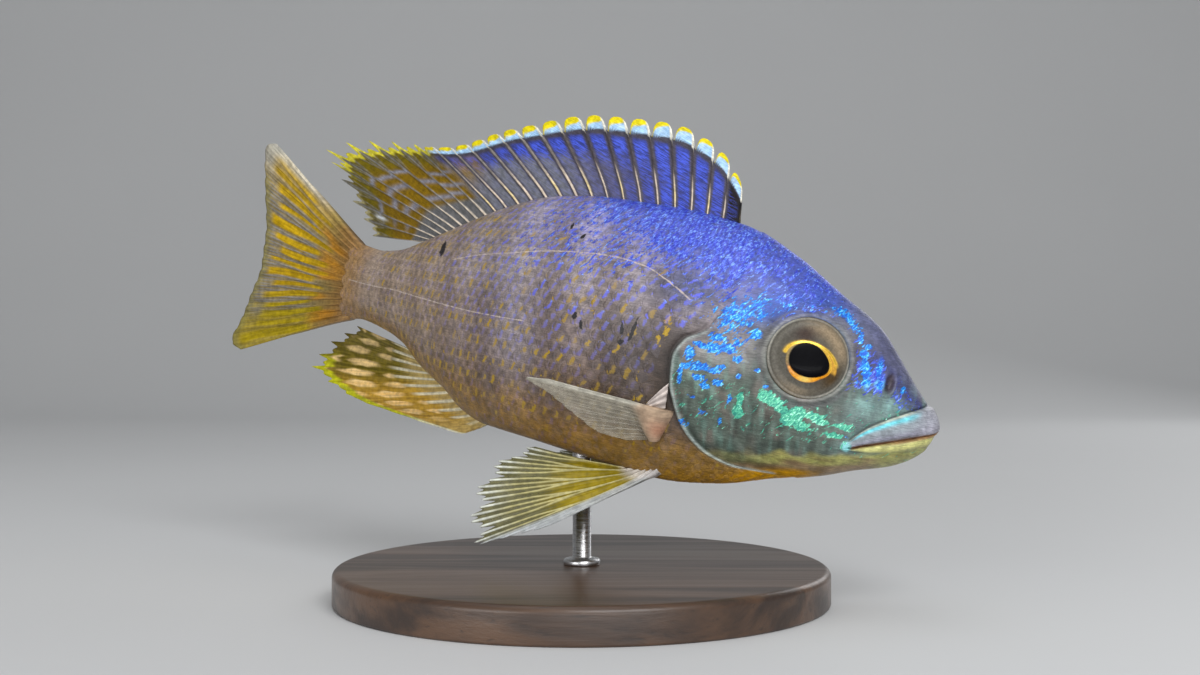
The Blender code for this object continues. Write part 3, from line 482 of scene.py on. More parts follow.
def body_paint(at):
    """Colours of the whole fish at places on its straight body. Returns the ground colour and
    how thickly violet, cyan, mint and yellow flecks stand there."""
    s, height = at[..., 0], at[..., 2]
    mid = through(MID_LINE, s)
    up = np.clip((height - mid) / (through(BACK_LINE, s) - mid), 0, 1)
    down = np.clip((mid - height) / (mid - through(BELLY_LINE, s)), 0, 1)
    wave = wavy(s, height, 9.0, 4)

    ground = painted(
        "flank",
        ("upper_flank", ramp(up, 0, 0.45) * 0.8),
        ("back", ramp(up, 0.45, 0.4) * fall(s, 66, 26)),
        ("rear_back", ramp(up, 0.3, 0.4) * ramp(s, 50, 20)),
        ("low_flank", ramp(down - 0.1 + 0.1 * wave, 0, 0.4)),
        ("stalk", ramp(s, 54, 22) * 0.85),
        ("belly", ramp(down - 0.5 + 0.06 * wave, 0, 0.3)),
        ("chest", ramp(down, 0.5, 0.3) * fall(s, 44, 12)))
    mottle = wavy(s * 1.3, height * 0.7, 2.4, 52) * ramp(down, 0.3, 0.3) * ramp(s, 34, 6)
    ground = ground * (1 + 0.22 * mottle)[..., None]
    ground = blended(ground, "tail_root", ramp(s, 88, 7))
    leaned = s - 0.12 * height
    bar = np.interp(leaned, (32.8, 39.6, 47.4, 58.2, 67, 75, 83, 91), np.arange(8))
    bars = 0.5 + 0.5 * np.cos(2 * np.pi * bar)
    barred = bars * ramp(s, 31, 2) * (1 - down) ** 0.5 * fall(s, 92, 10)
    barred = barred * (1 - 0.4 * ramp(s, 50, 10))
    ground = ground * (1 - barred[..., None] * (0.37, 0.41, 0.45))
    shaded = fall(s, 44, 8) * fall(height, 9, 5) * ramp(height, -9, 5)
    ground = ground * (1 - shaded[..., None] * (0.50, 0.50, 0.52))
    ground = ground * (1 - 0.2 * ramp(s, 50, 8) * ramp(down, 0.4, 0.3))[..., None]
    pale_bar = bump(leaned - 53, 3.4) * bump(height - 1, 7)
    ground = blended(ground, (0.31, 0.28, 0.31), pale_bar * 0.55)

    nape_line = np.interp(s, [14, 20, 28, 34, 40, 45, 50, 56],
                          [10.0, 9.4, 11.0, 13.6, 16.2, 18.6, 21.0, 24.5])
    nape_rise = height - nape_line + 0.8 * wave
    nape = ramp(nape_rise, -2.2, 6.5)
    streaky = np.maximum(ramp(nape_rise, -9, 11), 0.85 * ramp(up, 0.28, 0.3))
    streaky = streaky * fall(s, 72, 28)
    slate = bump(s - 31.5, 5) * bump(height - 11.3, 3)
    ground = painted(
        ground,
        ((0.06, 0.075, 0.17), slate * 0.9),
        ("nape", nape * ramp(s, 11, 6)))

    reach = reach_from_mid(s, height > mid)
    in_head = smooth_step(gill_at(np.arcsin(np.clip((height - mid) / reach, -1, 1))) - s + 0.5)
    profile = ramp(up, 0.82, 0.1) * fall(s, 17, 6) * ramp(s, 2, 3)
    bare = blended((0.085, 0.09, 0.175), (0.125, 0.13, 0.19), ramp(s, 8, 4))
    dusk = ramp(height, 0.5, 5) * ramp(s, 20, 5)
    blotch = smooth_step(wavy(s, height, 3.4, 9) * 1.2) * fall(height, 9, 4) * ramp(s, 9, 4)
    glaze = smooth_step(wavy(s * 2.2, height * 0.5, 2.6, 15)) * fall(height, 6, 4)
    head = painted(
        "cheek",
        ("snout_side", fall(s, 14, 5) * fall(height, 6.5, 5) * 0.7),
        ("snout", fall(s, 15, 5) * ramp(up, 0.45, 0.3)),
        ("crown", ramp(up, 0.8, 0.15) * fall(s, 22, 7)),
        (bare, profile * 0.85),
        (tone("upper_flank") * 0.8, dusk * 0.75),
        ((0.15, 0.115, 0.10), blotch * 0.5),
        ((0.15, 0.26, 0.22), glaze * 0.5))
    shade = smooth_step(wavy(s * 1.7, height * 0.6, 2.4, 44)) * fall(height, 6, 4)
    head = head * (1 - 0.35 * shade * ramp(s, 9, 4))[..., None]
    head = head * (1 + 0.35 * ramp(s, 22, 3) * bump(height - 2.0, 4.0))[..., None]
    sheen = np.maximum(bump(np.hypot(s - 9.3, (height - 0.9) * 1.3), 1.3),
                       bump(from_spot((6.4, 1.4), s, height), 0.9))
    jaw_line = np.interp(s, [0, 4, 8, 12, 17, 24, 30], [-0.6, -2.6, -4.0, -5.1, -5.8, -7.2, -7.8])
    jaw = ramp(jaw_line - height + 0.6 * wavy(s, height, 3.0, 12), 0, 1.0)
    under_jaw = jaw_line - 1.3 - height + 0.4 * wavy(s * 0.6, height, 2.6, 33)
    over_line = np.interp(s, [12, 14, 17, 21, 24, 30], [10.9, 11.6, 11.8, 11.0, 10.2, 9.4])
    over_eye = bump(height - over_line, 2.1) * bump(s - 21.5, 7.5)
    head = painted(
        head,
        ((0.24, 0.44, 0.42), sheen * (0.55 + 0.25 * wavy(s * 0.5, height * 2, 2.0, 61))),
        ("jaw", jaw * (0.85 - 0.5 * ramp(s, 18, 5))),
        ((0.17, 0.11, 0.05), jaw * smooth_step(wavy(s * 0.5, height * 2, 2.4, 30)) * 0.5),
        ((0.26, 0.175, 0.10), ramp(under_jaw, 0, 0.9) * ramp(s, 5, 4) * 0.9),
        ("nape", nape * ramp(s, 11, 5)),
        ("over_eye", over_eye * 0.9))
    throat = ramp(down - 0.72 - 0.1 * ramp(s, 19, 6) + 0.03 * wave, 0, 0.12)
    throat = throat * ramp(s, 12, 4) * (1 - 0.6 * ramp(s, 21, 6)) * fall(s, 38, 6)
    drop = marked([(8.4, 5.5, 0.32, 1.1), (8.1, 4.1, 0.5, 0.75), (9.5, 3.7, 0.3, 0.6)], s, height)
    ground = painted(
        ground,
        (head, in_head * (1 - nape * ramp(s, 22, 4))),
        ("throat", throat),
        ((0.015, 0.13, 0.75), drop),
        ((0.22, 0.68, 1.0), drop * fall(height, 4.6, 0.8) * 0.8))

    rise = height - mid
    upper_width, lower_width = lip_widths(s)
    at_lips = s < LIP_LENGTH - 0.15
    share = rise / np.maximum(upper_width, 0.1)
    on_upper = np.where(at_lips & (rise > 0), ramp(upper_width, rise, 0.12), 0.0)
    on_lower = np.where(at_lips & (rise <= 0), ramp(lower_width + rise, 0, 0.5), 0.0)
    # gleam: a painted highlight along the top of the upper lip
    gleam = bump(share - 0.80, 0.11) * ramp(s, 2.2, 2) * fall(s, 10.4, 1.5)
    inner = ramp(0.5 + rise, 0, 0.3) * (rise < 0.05) * fall(s, 7.0, 2.5)
    ground = painted(
        ground,
        ("upper_lip", on_upper),
        ((0.24, 0.22, 0.30), on_upper * bump(share - 0.15, 0.2) * 0.7),
        ((0.34, 0.33, 0.39), on_upper * fall(s, 4.0, 3) * 0.7),
        ((0.13, 0.68, 0.80), on_upper * gleam * 0.9),
        ((0.62, 0.64, 0.50), on_upper * bump(share - 0.95, 0.06) * ramp(s, 2.5, 2) * 0.8),
        ("lower_lip", on_lower),
        ("mouth", np.where(at_lips, np.maximum(inner * 0.85, bump(rise, 0.16)), 0.0)))
    # Painted shade in the groove over the upper lip's edge.
    ground = ground * (1 - 0.75 * bump(rise - upper_width - 0.1, 0.13) * at_lips)[..., None]
    ground = blended(ground, (0.26, 0.66, 0.70), fall(from_spot(MOUTH_CORNER, s, height), 0.75, 0.4))

    from_gill = away_from(smoothed(GILL_EDGE[3:13]), s, height)
    covered = in_head * fall(height, 8, 2)
    ground = ground * (1 - 0.35 * bump(from_gill - 0.9, 0.5) * covered)[..., None]
    ground = blended(ground, "gill_line", bump(from_gill - 0.15, 0.2) * covered * 0.8)
    # Painted shadow: a dark band on the body just behind the gill cover's edge.
    gill_shadow = (1 - in_head) * fall(height, 7.0, 2) * ramp(height, -5, 3)
    ground = ground * (1 - 0.7 * bump(from_gill, 1.1) * gill_shadow)[..., None]
    from_eye = from_spot(EYE_PLACE, s, height)
    pit = from_nostril(s, height)
    ground = painted(
        ground,
        ((0.30, 0.29, 0.27), (0.6 + 0.3 * wave) * bump(from_eye - EYE_RADIUS - 0.06, 0.24)),
        ((0.085, 0.075, 0.085), 0.6 * bump(from_eye - EYE_RADIUS - 0.65, 0.45)),
        # painted shade in the nostril's pit
        ((0.035, 0.022, 0.035), 0.9 * fall(pit, 1.5, 0.8)))

    fade = fall(s, 88, 40)
    violet = nape * 0.12 + 0.26 * streaky * (1 - 0.3 * slate)
    violet = violet + 0.10 * fade * ramp(up, -0.15, 0.4) * (1 - in_head)
    violet = violet * (1 - fall(pit, 1.8, 0.4)) + 0.20 * bump(s - 9.0, 4.5) * bump(up - 0.62, 0.24)
    violet = violet * (1 - 0.8 * profile)
    behind_eye = bump(s - 26.5, 4.0) * bump(height - 7.6, 3.0)
    before_eye = bump(from_eye - EYE_RADIUS - 1.4, 0.75) * fall(s, EYE_PLACE[0], 3)
    before_eye = before_eye * ramp(height, 2.5, 2)
    cyan = 0.31 * over_eye + 0.20 * behind_eye + 0.43 * marked(HEAD_MARKS["cyan"], s, height)
    cyan = cyan + 0.42 * before_eye
    cyan = cyan + 0.12 * in_head * ramp(s, 21, 3) * ramp(height, -3, 4)
    mint = 0.22 * in_head * fall(height, 4, 4) * ramp(height, -6.5, 2)
    mint = 0.52 * marked(HEAD_MARKS["mint"], s, height) + mint
    yellow = 0.5 * marked(YELLOW_DASHES, s, height)
    clear = 1 - fall(from_eye, EYE_RADIUS + 0.5, 0.35)
    clear = clear * (1 - np.clip(on_upper * (1 - gleam) + on_lower, 0, 1) * (s < 9.8))
    return ground, np.stack([violet * clear, cyan * clear, mint * clear, yellow], -1)


def lateral_offsets(s, height):
    """Distances to the upper and the lower part of the lateral line, minus below them. The sign
    lets a shader find the line between points that lie on both sides of it; past the ends of a
    line the distance jumps up, so that nothing shows there."""
    offsets = []
    for line in (UPPER_LATERAL, LOWER_LATERAL):
        beyond = np.maximum(line[0][0] - s, s - line[-1][0])
        away = np.minimum(away_from(smoothed(line), s, height), 3) + 60 * ramp(beyond, 0, 2)
        offsets.append(away * np.where(height < np.interp(s, *np.array(line).T), -1, 1))
    return np.stack([*offsets, 0 * s], -1)


# Making meshes

def make_piece(name, points, faces, material, replaced=(), sheets=None):
    """A mesh from points in metres and arrays of faces with three, four or more corners each.
    sheets holds its attributes by name: numbers, vectors, colours, or pairs for a UV map."""
    mesh = bpy.data.meshes.new(name)
    points = np.asarray(points, float).reshape(-1, 3)
    corners = np.concatenate([np.asarray(f).ravel() for f in faces]).astype(np.int32)
    sizes = np.concatenate([np.full(len(f), np.shape(f)[1]) for f in faces])
    starts = np.concatenate([[0], np.cumsum(sizes)[:-1]]).astype(np.int32)
    mesh.vertices.add(len(points))
    mesh.vertices.foreach_set("co", points.astype(np.float32).ravel())
    mesh.loops.add(len(corners))
    mesh.loops.foreach_set("vertex_index", corners)
    mesh.polygons.add(len(sizes))
    mesh.polygons.foreach_set("loop_start", starts)
    mesh.update(calc_edges=True)
    mesh.shade_smooth()
    for title, values in (sheets or {}).items():
        values = np.asarray(values, np.float32).reshape(len(points), -1)
        wide = values.shape[1]
        if wide == 2:
            layer = mesh.uv_layers.new(name=title)
            layer.data.foreach_set("uv", values[corners].ravel())
        else:
            kind = {1: "FLOAT", 3: "FLOAT_VECTOR", 4: "FLOAT_COLOR"}[wide]
            layer = mesh.attributes.new(title, kind, "POINT")
            layer.data.foreach_set({1: "value", 3: "vector", 4: "color"}[wide], values.ravel())
    mesh.materials.append(material)
    piece = bpy.data.objects.new(name, mesh)
    bpy.context.scene.collection.objects.link(piece)
    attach(piece, "root")
    if replaced:
        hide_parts(*replaced)


def grid_faces(rows, columns, wrap=False, start=0):
    """Quads of a grid whose points are stored row by row; wrap joins the last column to the first."""
    across = columns if wrap else columns - 1
    r, c = np.meshgrid(np.arange(rows - 1), np.arange(across), indexing="ij")
    here, right = r * columns + c, r * columns + (c + 1) % columns
    quads = np.stack([here, right, right + columns, here + columns], -1).reshape(-1, 4)
    return quads + start


def fan(hub, start, around, outward=1):
    """Triangles from the point numbered hub to a ring of points stored from start on."""
    ring = np.arange(around)
    edge = [start + ring, start + (ring + 1) % around]
    return np.stack([np.full(around, hub), *edge[::outward]], -1)


def with_alpha(rgb, alpha=1.0):
    """Colours with their opacity as a fourth number."""
    return np.concatenate([rgb, np.broadcast_to(alpha, rgb.shape[:-1])[..., None]], -1)


# Shader nodes

class Graph:
    """Writes the nodes of one tree: each call adds a node and gives back its first output."""

    def __init__(self, tree):
        self.tree = tree

    def node(self, kind, settings=None, **inputs):
        made = self.tree.nodes.new(kind)
        for key, value in (settings or {}).items():
            setattr(made, key, value)
        for key, value in inputs.items():
            self.feed(made.inputs[int(key[1:]) if key[0] == "_" else key.replace("_", " ")], value)
        return made

    def feed(self, socket, value):
        if isinstance(value, bpy.types.NodeSocket):
            self.tree.links.new(value, socket)
        else:
            socket.default_value = value

    def math(self, operation, *values):
        return self.node("ShaderNodeMath", {"operation": operation},
                         **{f"_{i}": v for i, v in enumerate(values)}).outputs[0]

    def times(self, *values):
        return self.math("MULTIPLY", *values)

    def plus(self, *values):
        return self.math("ADD", *values)

    def smooth(self, value, low, high, start=0.0, end=1.0):
        made = self.node("ShaderNodeMapRange", {"interpolation_type": "SMOOTHSTEP"}, Value=value,
                         From_Min=low, From_Max=high, To_Min=start, To_Max=end)
        return made.outputs[0]

    def mix(self, share, first, second, blend="MIX"):
        made = self.tree.nodes.new("ShaderNodeMix")
        made.data_type = "RGBA"
        made.blend_type = blend
        self.feed(made.inputs[0], share)
        self.feed(made.inputs[6], first)
        self.feed(made.inputs[7], second)
        return made.outputs[2]

    def noise(self, vector, scale, detail=2.0, rough=0.5, distortion=0.0):
        return self.node("ShaderNodeTexNoise", Vector=vector, Scale=scale, Detail=detail,
                         Roughness=rough, Distortion=distortion).outputs[0]

    def stretched(self, vector, turn, scale):
        """A vector turned in the plane of the flank, then scaled."""
        leaned = self.node("ShaderNodeVectorRotate", {"rotation_type": "Y_AXIS"}, Vector=vector,
                           Angle=turn).outputs[0]
        return self.node("ShaderNodeVectorMath", {"operation": "MULTIPLY"}, _0=leaned,
                         _1=scale).outputs[0]

    def attribute(self, name, output="Vector"):
        return self.node("ShaderNodeAttribute", {"attribute_name": name}).outputs[output]


def rgba(name):
    """A named colour for a socket."""
    return (*COLOURS[name], 1.0)


def make_group(name, inputs, outputs, build):
    """A node group with named inputs and outputs. build(graph, inputs) gives the outputs by name."""
    tree = bpy.data.node_groups.new(name, "ShaderNodeTree")
    for title, kind in inputs.items():
        tree.interface.new_socket(title, in_out="INPUT", socket_type=kind)
    for title, kind in outputs.items():
        tree.interface.new_socket(title, in_out="OUTPUT", socket_type=kind)
    graph = Graph(tree)
    entry = tree.nodes.new("NodeGroupInput")
    leave = tree.nodes.new("NodeGroupOutput")
    made = build(graph, entry.outputs)
    for title, value in made.items():
        graph.feed(leave.inputs[title], value)
    return tree


def use_group(graph, group, **inputs):
    """Adds a node group, fed by name, and gives its outputs."""
    made = graph.tree.nodes.new("ShaderNodeGroup")
    made.node_tree = group
    for key, value in inputs.items():
        graph.feed(made.inputs[key.replace("_", " ")], value)
    return made.outputs


FLOAT, VECTOR, COLOUR = "NodeSocketFloat", "NodeSocketVector", "NodeSocketColor"


def build_flecks(graph, given):
    """Iridescent flecks: stretched noise that shows where it and the density pass one together."""
    streaks = graph.stretched(given["Place"], np.radians(-50), (0.52, 0.75, 1.65))
    fine = graph.noise(streaks, 1.2, 3.0, 0.55, 1.3)
    grain = graph.noise(given["Place"], 3.0, 2.0, 0.5)
    field = graph.plus(graph.times(fine, 1.1), graph.times(grain, 0.2))
    glow = graph.plus(graph.times(graph.noise(streaks, 2.6, 2.0, 0.6, 1.0), 0.78),
                      graph.times(graph.noise(given["Place"], 3.6, 2.0, 0.5), 0.22))
    # The last tone of each kind of fleck is a painted glint, where the noise is highest.
    tones = {"Yellow": ("yellow", "yellow", "yellow"),
             "Violet": ("violet", "bright_violet", "glint_violet"),
             "Mint": ("teal", "mint", "glint_mint"), "Cyan": ("blue", "cyan", "glint_cyan")}
    tint, shine = given["Ground"], None
    for name, (deep, bright, glint) in tones.items():
        mask = graph.smooth(graph.plus(field, given[name]), 0.97, 1.09)
        shade = graph.mix(graph.smooth(glow, 0.42, 0.55), rgba(deep), rgba(bright))
        shade = graph.mix(graph.smooth(glow, 0.54, 0.64), shade, rgba(glint))
        tint = graph.mix(mask, tint, shade)
        shine = mask if shine is None else graph.math("MAXIMUM", shine, mask)
    return {"Colour": tint, "Shine": shine}


def build_ink(graph, given):
    """The black flecks on the right flank: ovals in the plane of the flank with ragged edges."""
    ragged = graph.times(graph.math("SUBTRACT", graph.noise(given["Place"], 3.2), 0.5), 1.7)
    darkest = None
    for s, height, half_length, half_height, turn in FLECKS:
        away = graph.node("ShaderNodeVectorMath", {"operation": "SUBTRACT"}, _0=given["Place"],
                          _1=(s, 0.0, height)).outputs[0]
        oval = graph.stretched(away, np.radians(turn), (1 / half_length, 0.0, 1 / half_height))
        length = graph.node("ShaderNodeVectorMath", {"operation": "LENGTH"}, _0=oval).outputs[1]
        ink = graph.smooth(graph.plus(length, ragged), 1.25, 0.85)
        darkest = ink if darkest is None else graph.math("MAXIMUM", darkest, ink)
    side = graph.node("ShaderNodeSeparateXYZ", Vector=given["Place"]).outputs[1]
    return {"Ink": graph.times(darkest, graph.math("LESS_THAN", side, 0.0))}


def principled(name, **values):
    """A material with values for its shader, and the means to add nodes to it."""
    material = bpy.data.materials.new(name)
    material.use_nodes = True
    shader = material.node_tree.nodes["Principled BSDF"]
    for key, value in values.items():
        shader.inputs[key.replace("_", " ")].default_value = value
    return material, Graph(material.node_tree), shader


def add_bump(graph, shader, height, distance):
    """Fine relief: the height in nodes, times a distance in metres."""
    made = graph.node("ShaderNodeBump", Height=height, Distance=distance, Strength=1.0)
    graph.feed(shader.inputs["Normal"], made.outputs[0])


def fish_colours(graph, groups):
    """Ground colour and flecks, the same on skin and scales, with the fine lines on both."""
    place = graph.attribute("place")
    marks = graph.node("ShaderNodeAttribute", {"attribute_name": "marks"})
    parts = graph.node("ShaderNodeSeparateColor", _0=marks.outputs["Color"]).outputs
    mottle = graph.smooth(graph.noise(place, 0.9, 4.0, 0.65), 0.3, 0.7, 0.72, 1.25)
    lines = graph.noise(graph.stretched(place, 0.0, (0.55, 1.0, 5.5)), 1.5, 3.0, 0.6, 0.3)
    ridges = graph.smooth(lines, 0.36, 0.64, 0.80, 1.18)
    ground = graph.mix(1.0, graph.attribute("tint", "Color"), graph.times(mottle, ridges), "MULTIPLY")
    flecks = use_group(graph, groups["flecks"], Ground=ground, Place=place, Violet=parts[0],
                       Cyan=parts[1], Mint=parts[2], Yellow=marks.outputs["Alpha"])
    return place, flecks, lines


def skin_material(groups):
    """Smooth head skin and the skin between scales: fine pores and wrinkles over the markings."""
    material, graph, shader = principled("fish_skin", Coat_Weight=0.25, Coat_Roughness=0.25,
                                         Specular_IOR_Level=0.3)
    place, flecks, lines = fish_colours(graph, groups)
    ink = use_group(graph, groups["ink"], Place=place)["Ink"]
    graph.feed(shader.inputs["Base Color"], graph.mix(ink, flecks["Colour"], rgba("black")))
    graph.feed(shader.inputs["Roughness"], graph.smooth(flecks["Shine"], 0.0, 1.0, 0.46, 0.32))
    graph.feed(shader.inputs["Metallic"], graph.times(flecks["Shine"], 0.25))
    pores = graph.plus(graph.noise(place, 3.2, 4.0, 0.65), graph.times(lines, 0.6))
    height = graph.plus(pores, graph.times(flecks["Shine"], 0.4))
    add_bump(graph, shader, height, 0.00008)
    return material


def scale_material(groups):
    """Scales: the body's colours with a slanting dash of violet or yellow on each, a dusky margin
    and fine rings."""
    material, graph, shader = principled("fish_scales", Coat_Weight=0.22, Coat_Roughness=0.28,
                                         Specular_IOR_Level=0.3)
    place, flecks, lines = fish_colours(graph, groups)
    wander = graph.times(graph.noise(place, 1.6), 0.28)
    offsets = graph.node("ShaderNodeSeparateXYZ", Vector=graph.attribute("line")).outputs
    from_line = graph.math("MINIMUM", graph.math("ABSOLUTE", offsets[0]),
                           graph.math("ABSOLUTE", offsets[1]))
    line = graph.smooth(graph.plus(from_line, wander), 0.27, 0.15)
    own = graph.node("ShaderNodeSeparateXYZ", Vector=graph.node(
        "ShaderNodeUVMap", {"uv_map": "scale"}).outputs[0]).outputs
    dashes = graph.node("ShaderNodeAttribute", {"attribute_name": "chance"})
    chance = graph.node("ShaderNodeSeparateColor", _0=dashes.outputs["Color"]).outputs
    height = graph.math("SUBTRACT", own[1], 0.5)
    slant = graph.plus(own[0], graph.times(height, dashes.outputs["Alpha"]))
    ragged = graph.times(graph.noise(place, 1.2, 3.0, 0.6), 0.34)
    across = graph.math("ABSOLUTE", graph.math("SUBTRACT", graph.plus(slant, ragged), 0.95))
    worn = graph.times(graph.noise(place, 2.1, 3.0, 0.6), 0.5)
    length = graph.plus(graph.math("ABSOLUTE", height), graph.plus(worn, graph.times(chance[2], 0.14)))
    dash = graph.times(graph.smooth(across, 0.10, 0.04), graph.smooth(length, 0.58, 0.44))
    violet = graph.times(dash, chance[0])
    yellow = graph.times(dash, chance[1])
    middle = graph.math("ABSOLUTE", graph.math("SUBTRACT", own[0], 0.80))
    cell = graph.smooth(graph.plus(middle, graph.times(ragged, 0.3)), 0.02, 0.24, 1.17, 0.82)
    spot = graph.node("ShaderNodeSeparateXYZ", Vector=place).outputs
    shown = graph.times(graph.smooth(spot[2], -11.0, -6.5), graph.smooth(spot[0], 94.0, 84.0))
    cell = graph.mix(shown, (1, 1, 1, 1), cell)
    colour_now = graph.mix(1.0, flecks["Colour"], cell, "MULTIPLY")
    colour_now = graph.mix(yellow, colour_now, rgba("yellow"))
    # Painted glint: each violet dash turns paler towards its upper end.
    glow = graph.smooth(graph.plus(own[1], graph.times(graph.noise(place, 5.0), 0.5)), 0.82, 1.05)
    colour_now = graph.mix(violet, colour_now, graph.mix(glow, rgba("dash_violet"), rgba("dash_glint")))
    colour_now = graph.mix(graph.smooth(own[0], 0.90, 1.0, 0.0, 0.07), colour_now,
                           (0.06, 0.045, 0.045, 1.0))
    colour_now = graph.mix(graph.smooth(chance[2], 0.0, 1.0, 0.0, 0.08), colour_now, rgba("lilac"))
    beads = graph.smooth(graph.noise(place, 1.9, 2.0), 0.38, 0.58, 0.40, 0.85)
    colour_now = graph.mix(graph.times(line, beads), colour_now, rgba("pale"))
    ink = use_group(graph, groups["ink"], Place=place)["Ink"]
    graph.feed(shader.inputs["Base Color"], graph.mix(ink, colour_now, rgba("black")))
    shine = graph.math("MAXIMUM", flecks["Shine"], violet)
    graph.feed(shader.inputs["Roughness"], graph.smooth(shine, 0.0, 1.0, 0.46, 0.32))
    graph.feed(shader.inputs["Metallic"], graph.times(shine, 0.25))
    rings = graph.math("SINE", graph.times(own[0], 90.0))
    height = graph.plus(graph.times(rings, 0.10), graph.noise(place, 4.5, 3.0))
    add_bump(graph, shader, graph.plus(height, graph.times(lines, 0.9)), 0.00006)
    return material


def fin_material(name, streak_colour, streak_turn, streak_share, rough=0.42, bump_depth=0.00006,
                 contrast=0.16):
    """Fin web: painted ground with fine streaks, shown by its own mask. The streaks slant in the
    plane of the flank by streak_turn, or follow the rays where that is None."""
    material, graph, shader = principled(name, Coat_Weight=0.05, Coat_Roughness=0.3,
                                         Specular_IOR_Level=0.15)
    place = graph.attribute("place")
    tint = graph.node("ShaderNodeAttribute", {"attribute_name": "tint"})
    if streak_turn is None:
        streak = graph.noise(graph.attribute("grain"), 1.5, 1.5, 0.5, 0.3)
    else:
        slanted = graph.stretched(place, np.radians(streak_turn), (0.40, 0.5, 4.6))
        streak = graph.noise(slanted, 1.4, 3.0, 0.6, 0.5)
    web = graph.attribute("web", "Fac")
    share = graph.times(graph.smooth(streak, 0.46, 0.55), web)
    clouds = graph.smooth(graph.noise(place, 1.3, 3.0), 0.3, 0.7, 0.8, 1.18)
    ground = graph.mix(1.0, tint.outputs["Color"], clouds, "MULTIPLY")
    fine = graph.smooth(streak, 0.35, 0.65, 1 - contrast, 1 + contrast)
    ground = graph.mix(1.0, ground, fine, "MULTIPLY")
    shown = graph.times(share, streak_share)
    graph.feed(shader.inputs["Base Color"], graph.mix(shown, ground, streak_colour))
    graph.feed(shader.inputs["Alpha"], tint.outputs["Alpha"])
    graph.feed(shader.inputs["Roughness"], graph.smooth(web, 0.0, 1.0, rough + 0.06, rough - 0.04))
    add_bump(graph, shader, graph.plus(streak, graph.noise(place, 5.0, 2.0)), bump_depth)
    return material


def eye_material():
    """Painted iris with fine fibres under a thin clear coat, metallic where it is golden."""
    material, graph, shader = principled("eye_glass", Coat_Weight=0.02, Coat_Roughness=0.05,
                                         Roughness=0.4, Specular_IOR_Level=0.05)
    place = graph.attribute("place")
    tint = graph.attribute("tint", "Color")
    fibres = graph.noise(place, 3.4, 3.0, 0.6, 0.5)
    fibred = graph.smooth(fibres, 0.3, 0.7, 0.82, 1.2)
    graph.feed(shader.inputs["Base Color"], graph.mix(1.0, tint, fibred, "MULTIPLY"))
    gold = graph.attribute("gold", "Fac")
    graph.feed(shader.inputs["Metallic"], graph.times(gold, 0.6))
    graph.feed(shader.inputs["Roughness"], graph.smooth(gold, 0.0, 1.0, 0.42, 0.24))
    return material


def wood_material():
    """Dark stained wood: long grain in growth rings with fine pores, under satin lacquer."""
    material, graph, shader = principled("stained_wood", Coat_Weight=0.35, Coat_Roughness=0.28)
    place = graph.node("ShaderNodeTexCoord").outputs["Object"]
    shift = graph.node("ShaderNodeMapping", Vector=place, Location=(0.02, 0.11, 0.0),
                       Rotation=(0.1, 0.05, 0.3), Scale=(14.0, 160.0, 160.0)).outputs[0]
    rings = graph.noise(shift, 1.0, 4.0, 0.55, 0.8)
    fine = graph.node("ShaderNodeMapping", Vector=place, Rotation=(0.1, 0.05, 0.3),
                      Scale=(90.0, 1400.0, 1400.0)).outputs[0]
    pores = graph.noise(fine, 1.0, 3.0, 0.7)
    tint = graph.mix(graph.smooth(rings, 0.35, 0.65), (0.028, 0.014, 0.008, 1),
                     (0.095, 0.048, 0.024, 1))
    tint = graph.mix(graph.smooth(pores, 0.56, 0.72, 0.0, 0.6), tint, (0.012, 0.007, 0.005, 1))
    graph.feed(shader.inputs["Base Color"], tint)
    graph.feed(shader.inputs["Roughness"], graph.smooth(rings, 0.3, 0.7, 0.5, 0.36))
    add_bump(graph, shader, graph.math("SUBTRACT", rings, graph.times(pores, 0.5)), 0.00012)
    return material


def steel_material():
    """Brushed steel: fine lines round the rod."""
    material, graph, shader = principled("brushed_steel", Metallic=1.0)
    place = graph.node("ShaderNodeTexCoord").outputs["Object"]
    around = graph.node("ShaderNodeMapping", Vector=place, Scale=(300.0, 300.0, 9000.0)).outputs[0]
    lines = graph.noise(around, 1.0, 3.0, 0.6)
    graph.feed(shader.inputs["Base Color"],
               graph.mix(lines, (0.42, 0.42, 0.43, 1), (0.68, 0.68, 0.69, 1)))
    graph.feed(shader.inputs["Roughness"], graph.smooth(lines, 0.3, 0.7, 0.22, 0.38))
    add_bump(graph, shader, lines, 0.00002)
    return material


# Skin

def lip_lines(quarter, s):
    """Angles of the skin's lines: a share of them keeps to the lips, closest at the line of the
    mouth and at the lip's edge, and behind the mouth they relax over the cheek."""
    upper_width, lower_width = lip_widths(s)
    upper = quarter > 0
    reach = reach_from_mid(s, upper)
    blunt = np.sqrt(1 - (1 - np.clip(s / SNOUT_ROUNDING, 1e-3, 1)) ** 2)
    relaxed = reach * 0.28 * ramp(s, 8, 14) + 0.3
    width = np.maximum(np.where(upper, upper_width, lower_width), relaxed)
    edge = np.arcsin(np.clip(width / (reach * blunt), 0, 0.85))
    share = np.abs(quarter)
    on_lip = share / LIP_LINES
    crowded = 0.5 - 0.5 * np.cos(np.pi * np.clip(on_lip, 0, 1))
    on_lip = on_lip + (crowded - on_lip) * 0.8 * fall(s, 14, 5)
    beyond = np.clip((share - LIP_LINES) / 0.72, 0, 1)
    return np.sign(quarter) * np.where(share < LIP_LINES, edge * on_lip,
                                       edge + (np.pi / 2 - edge) * beyond)


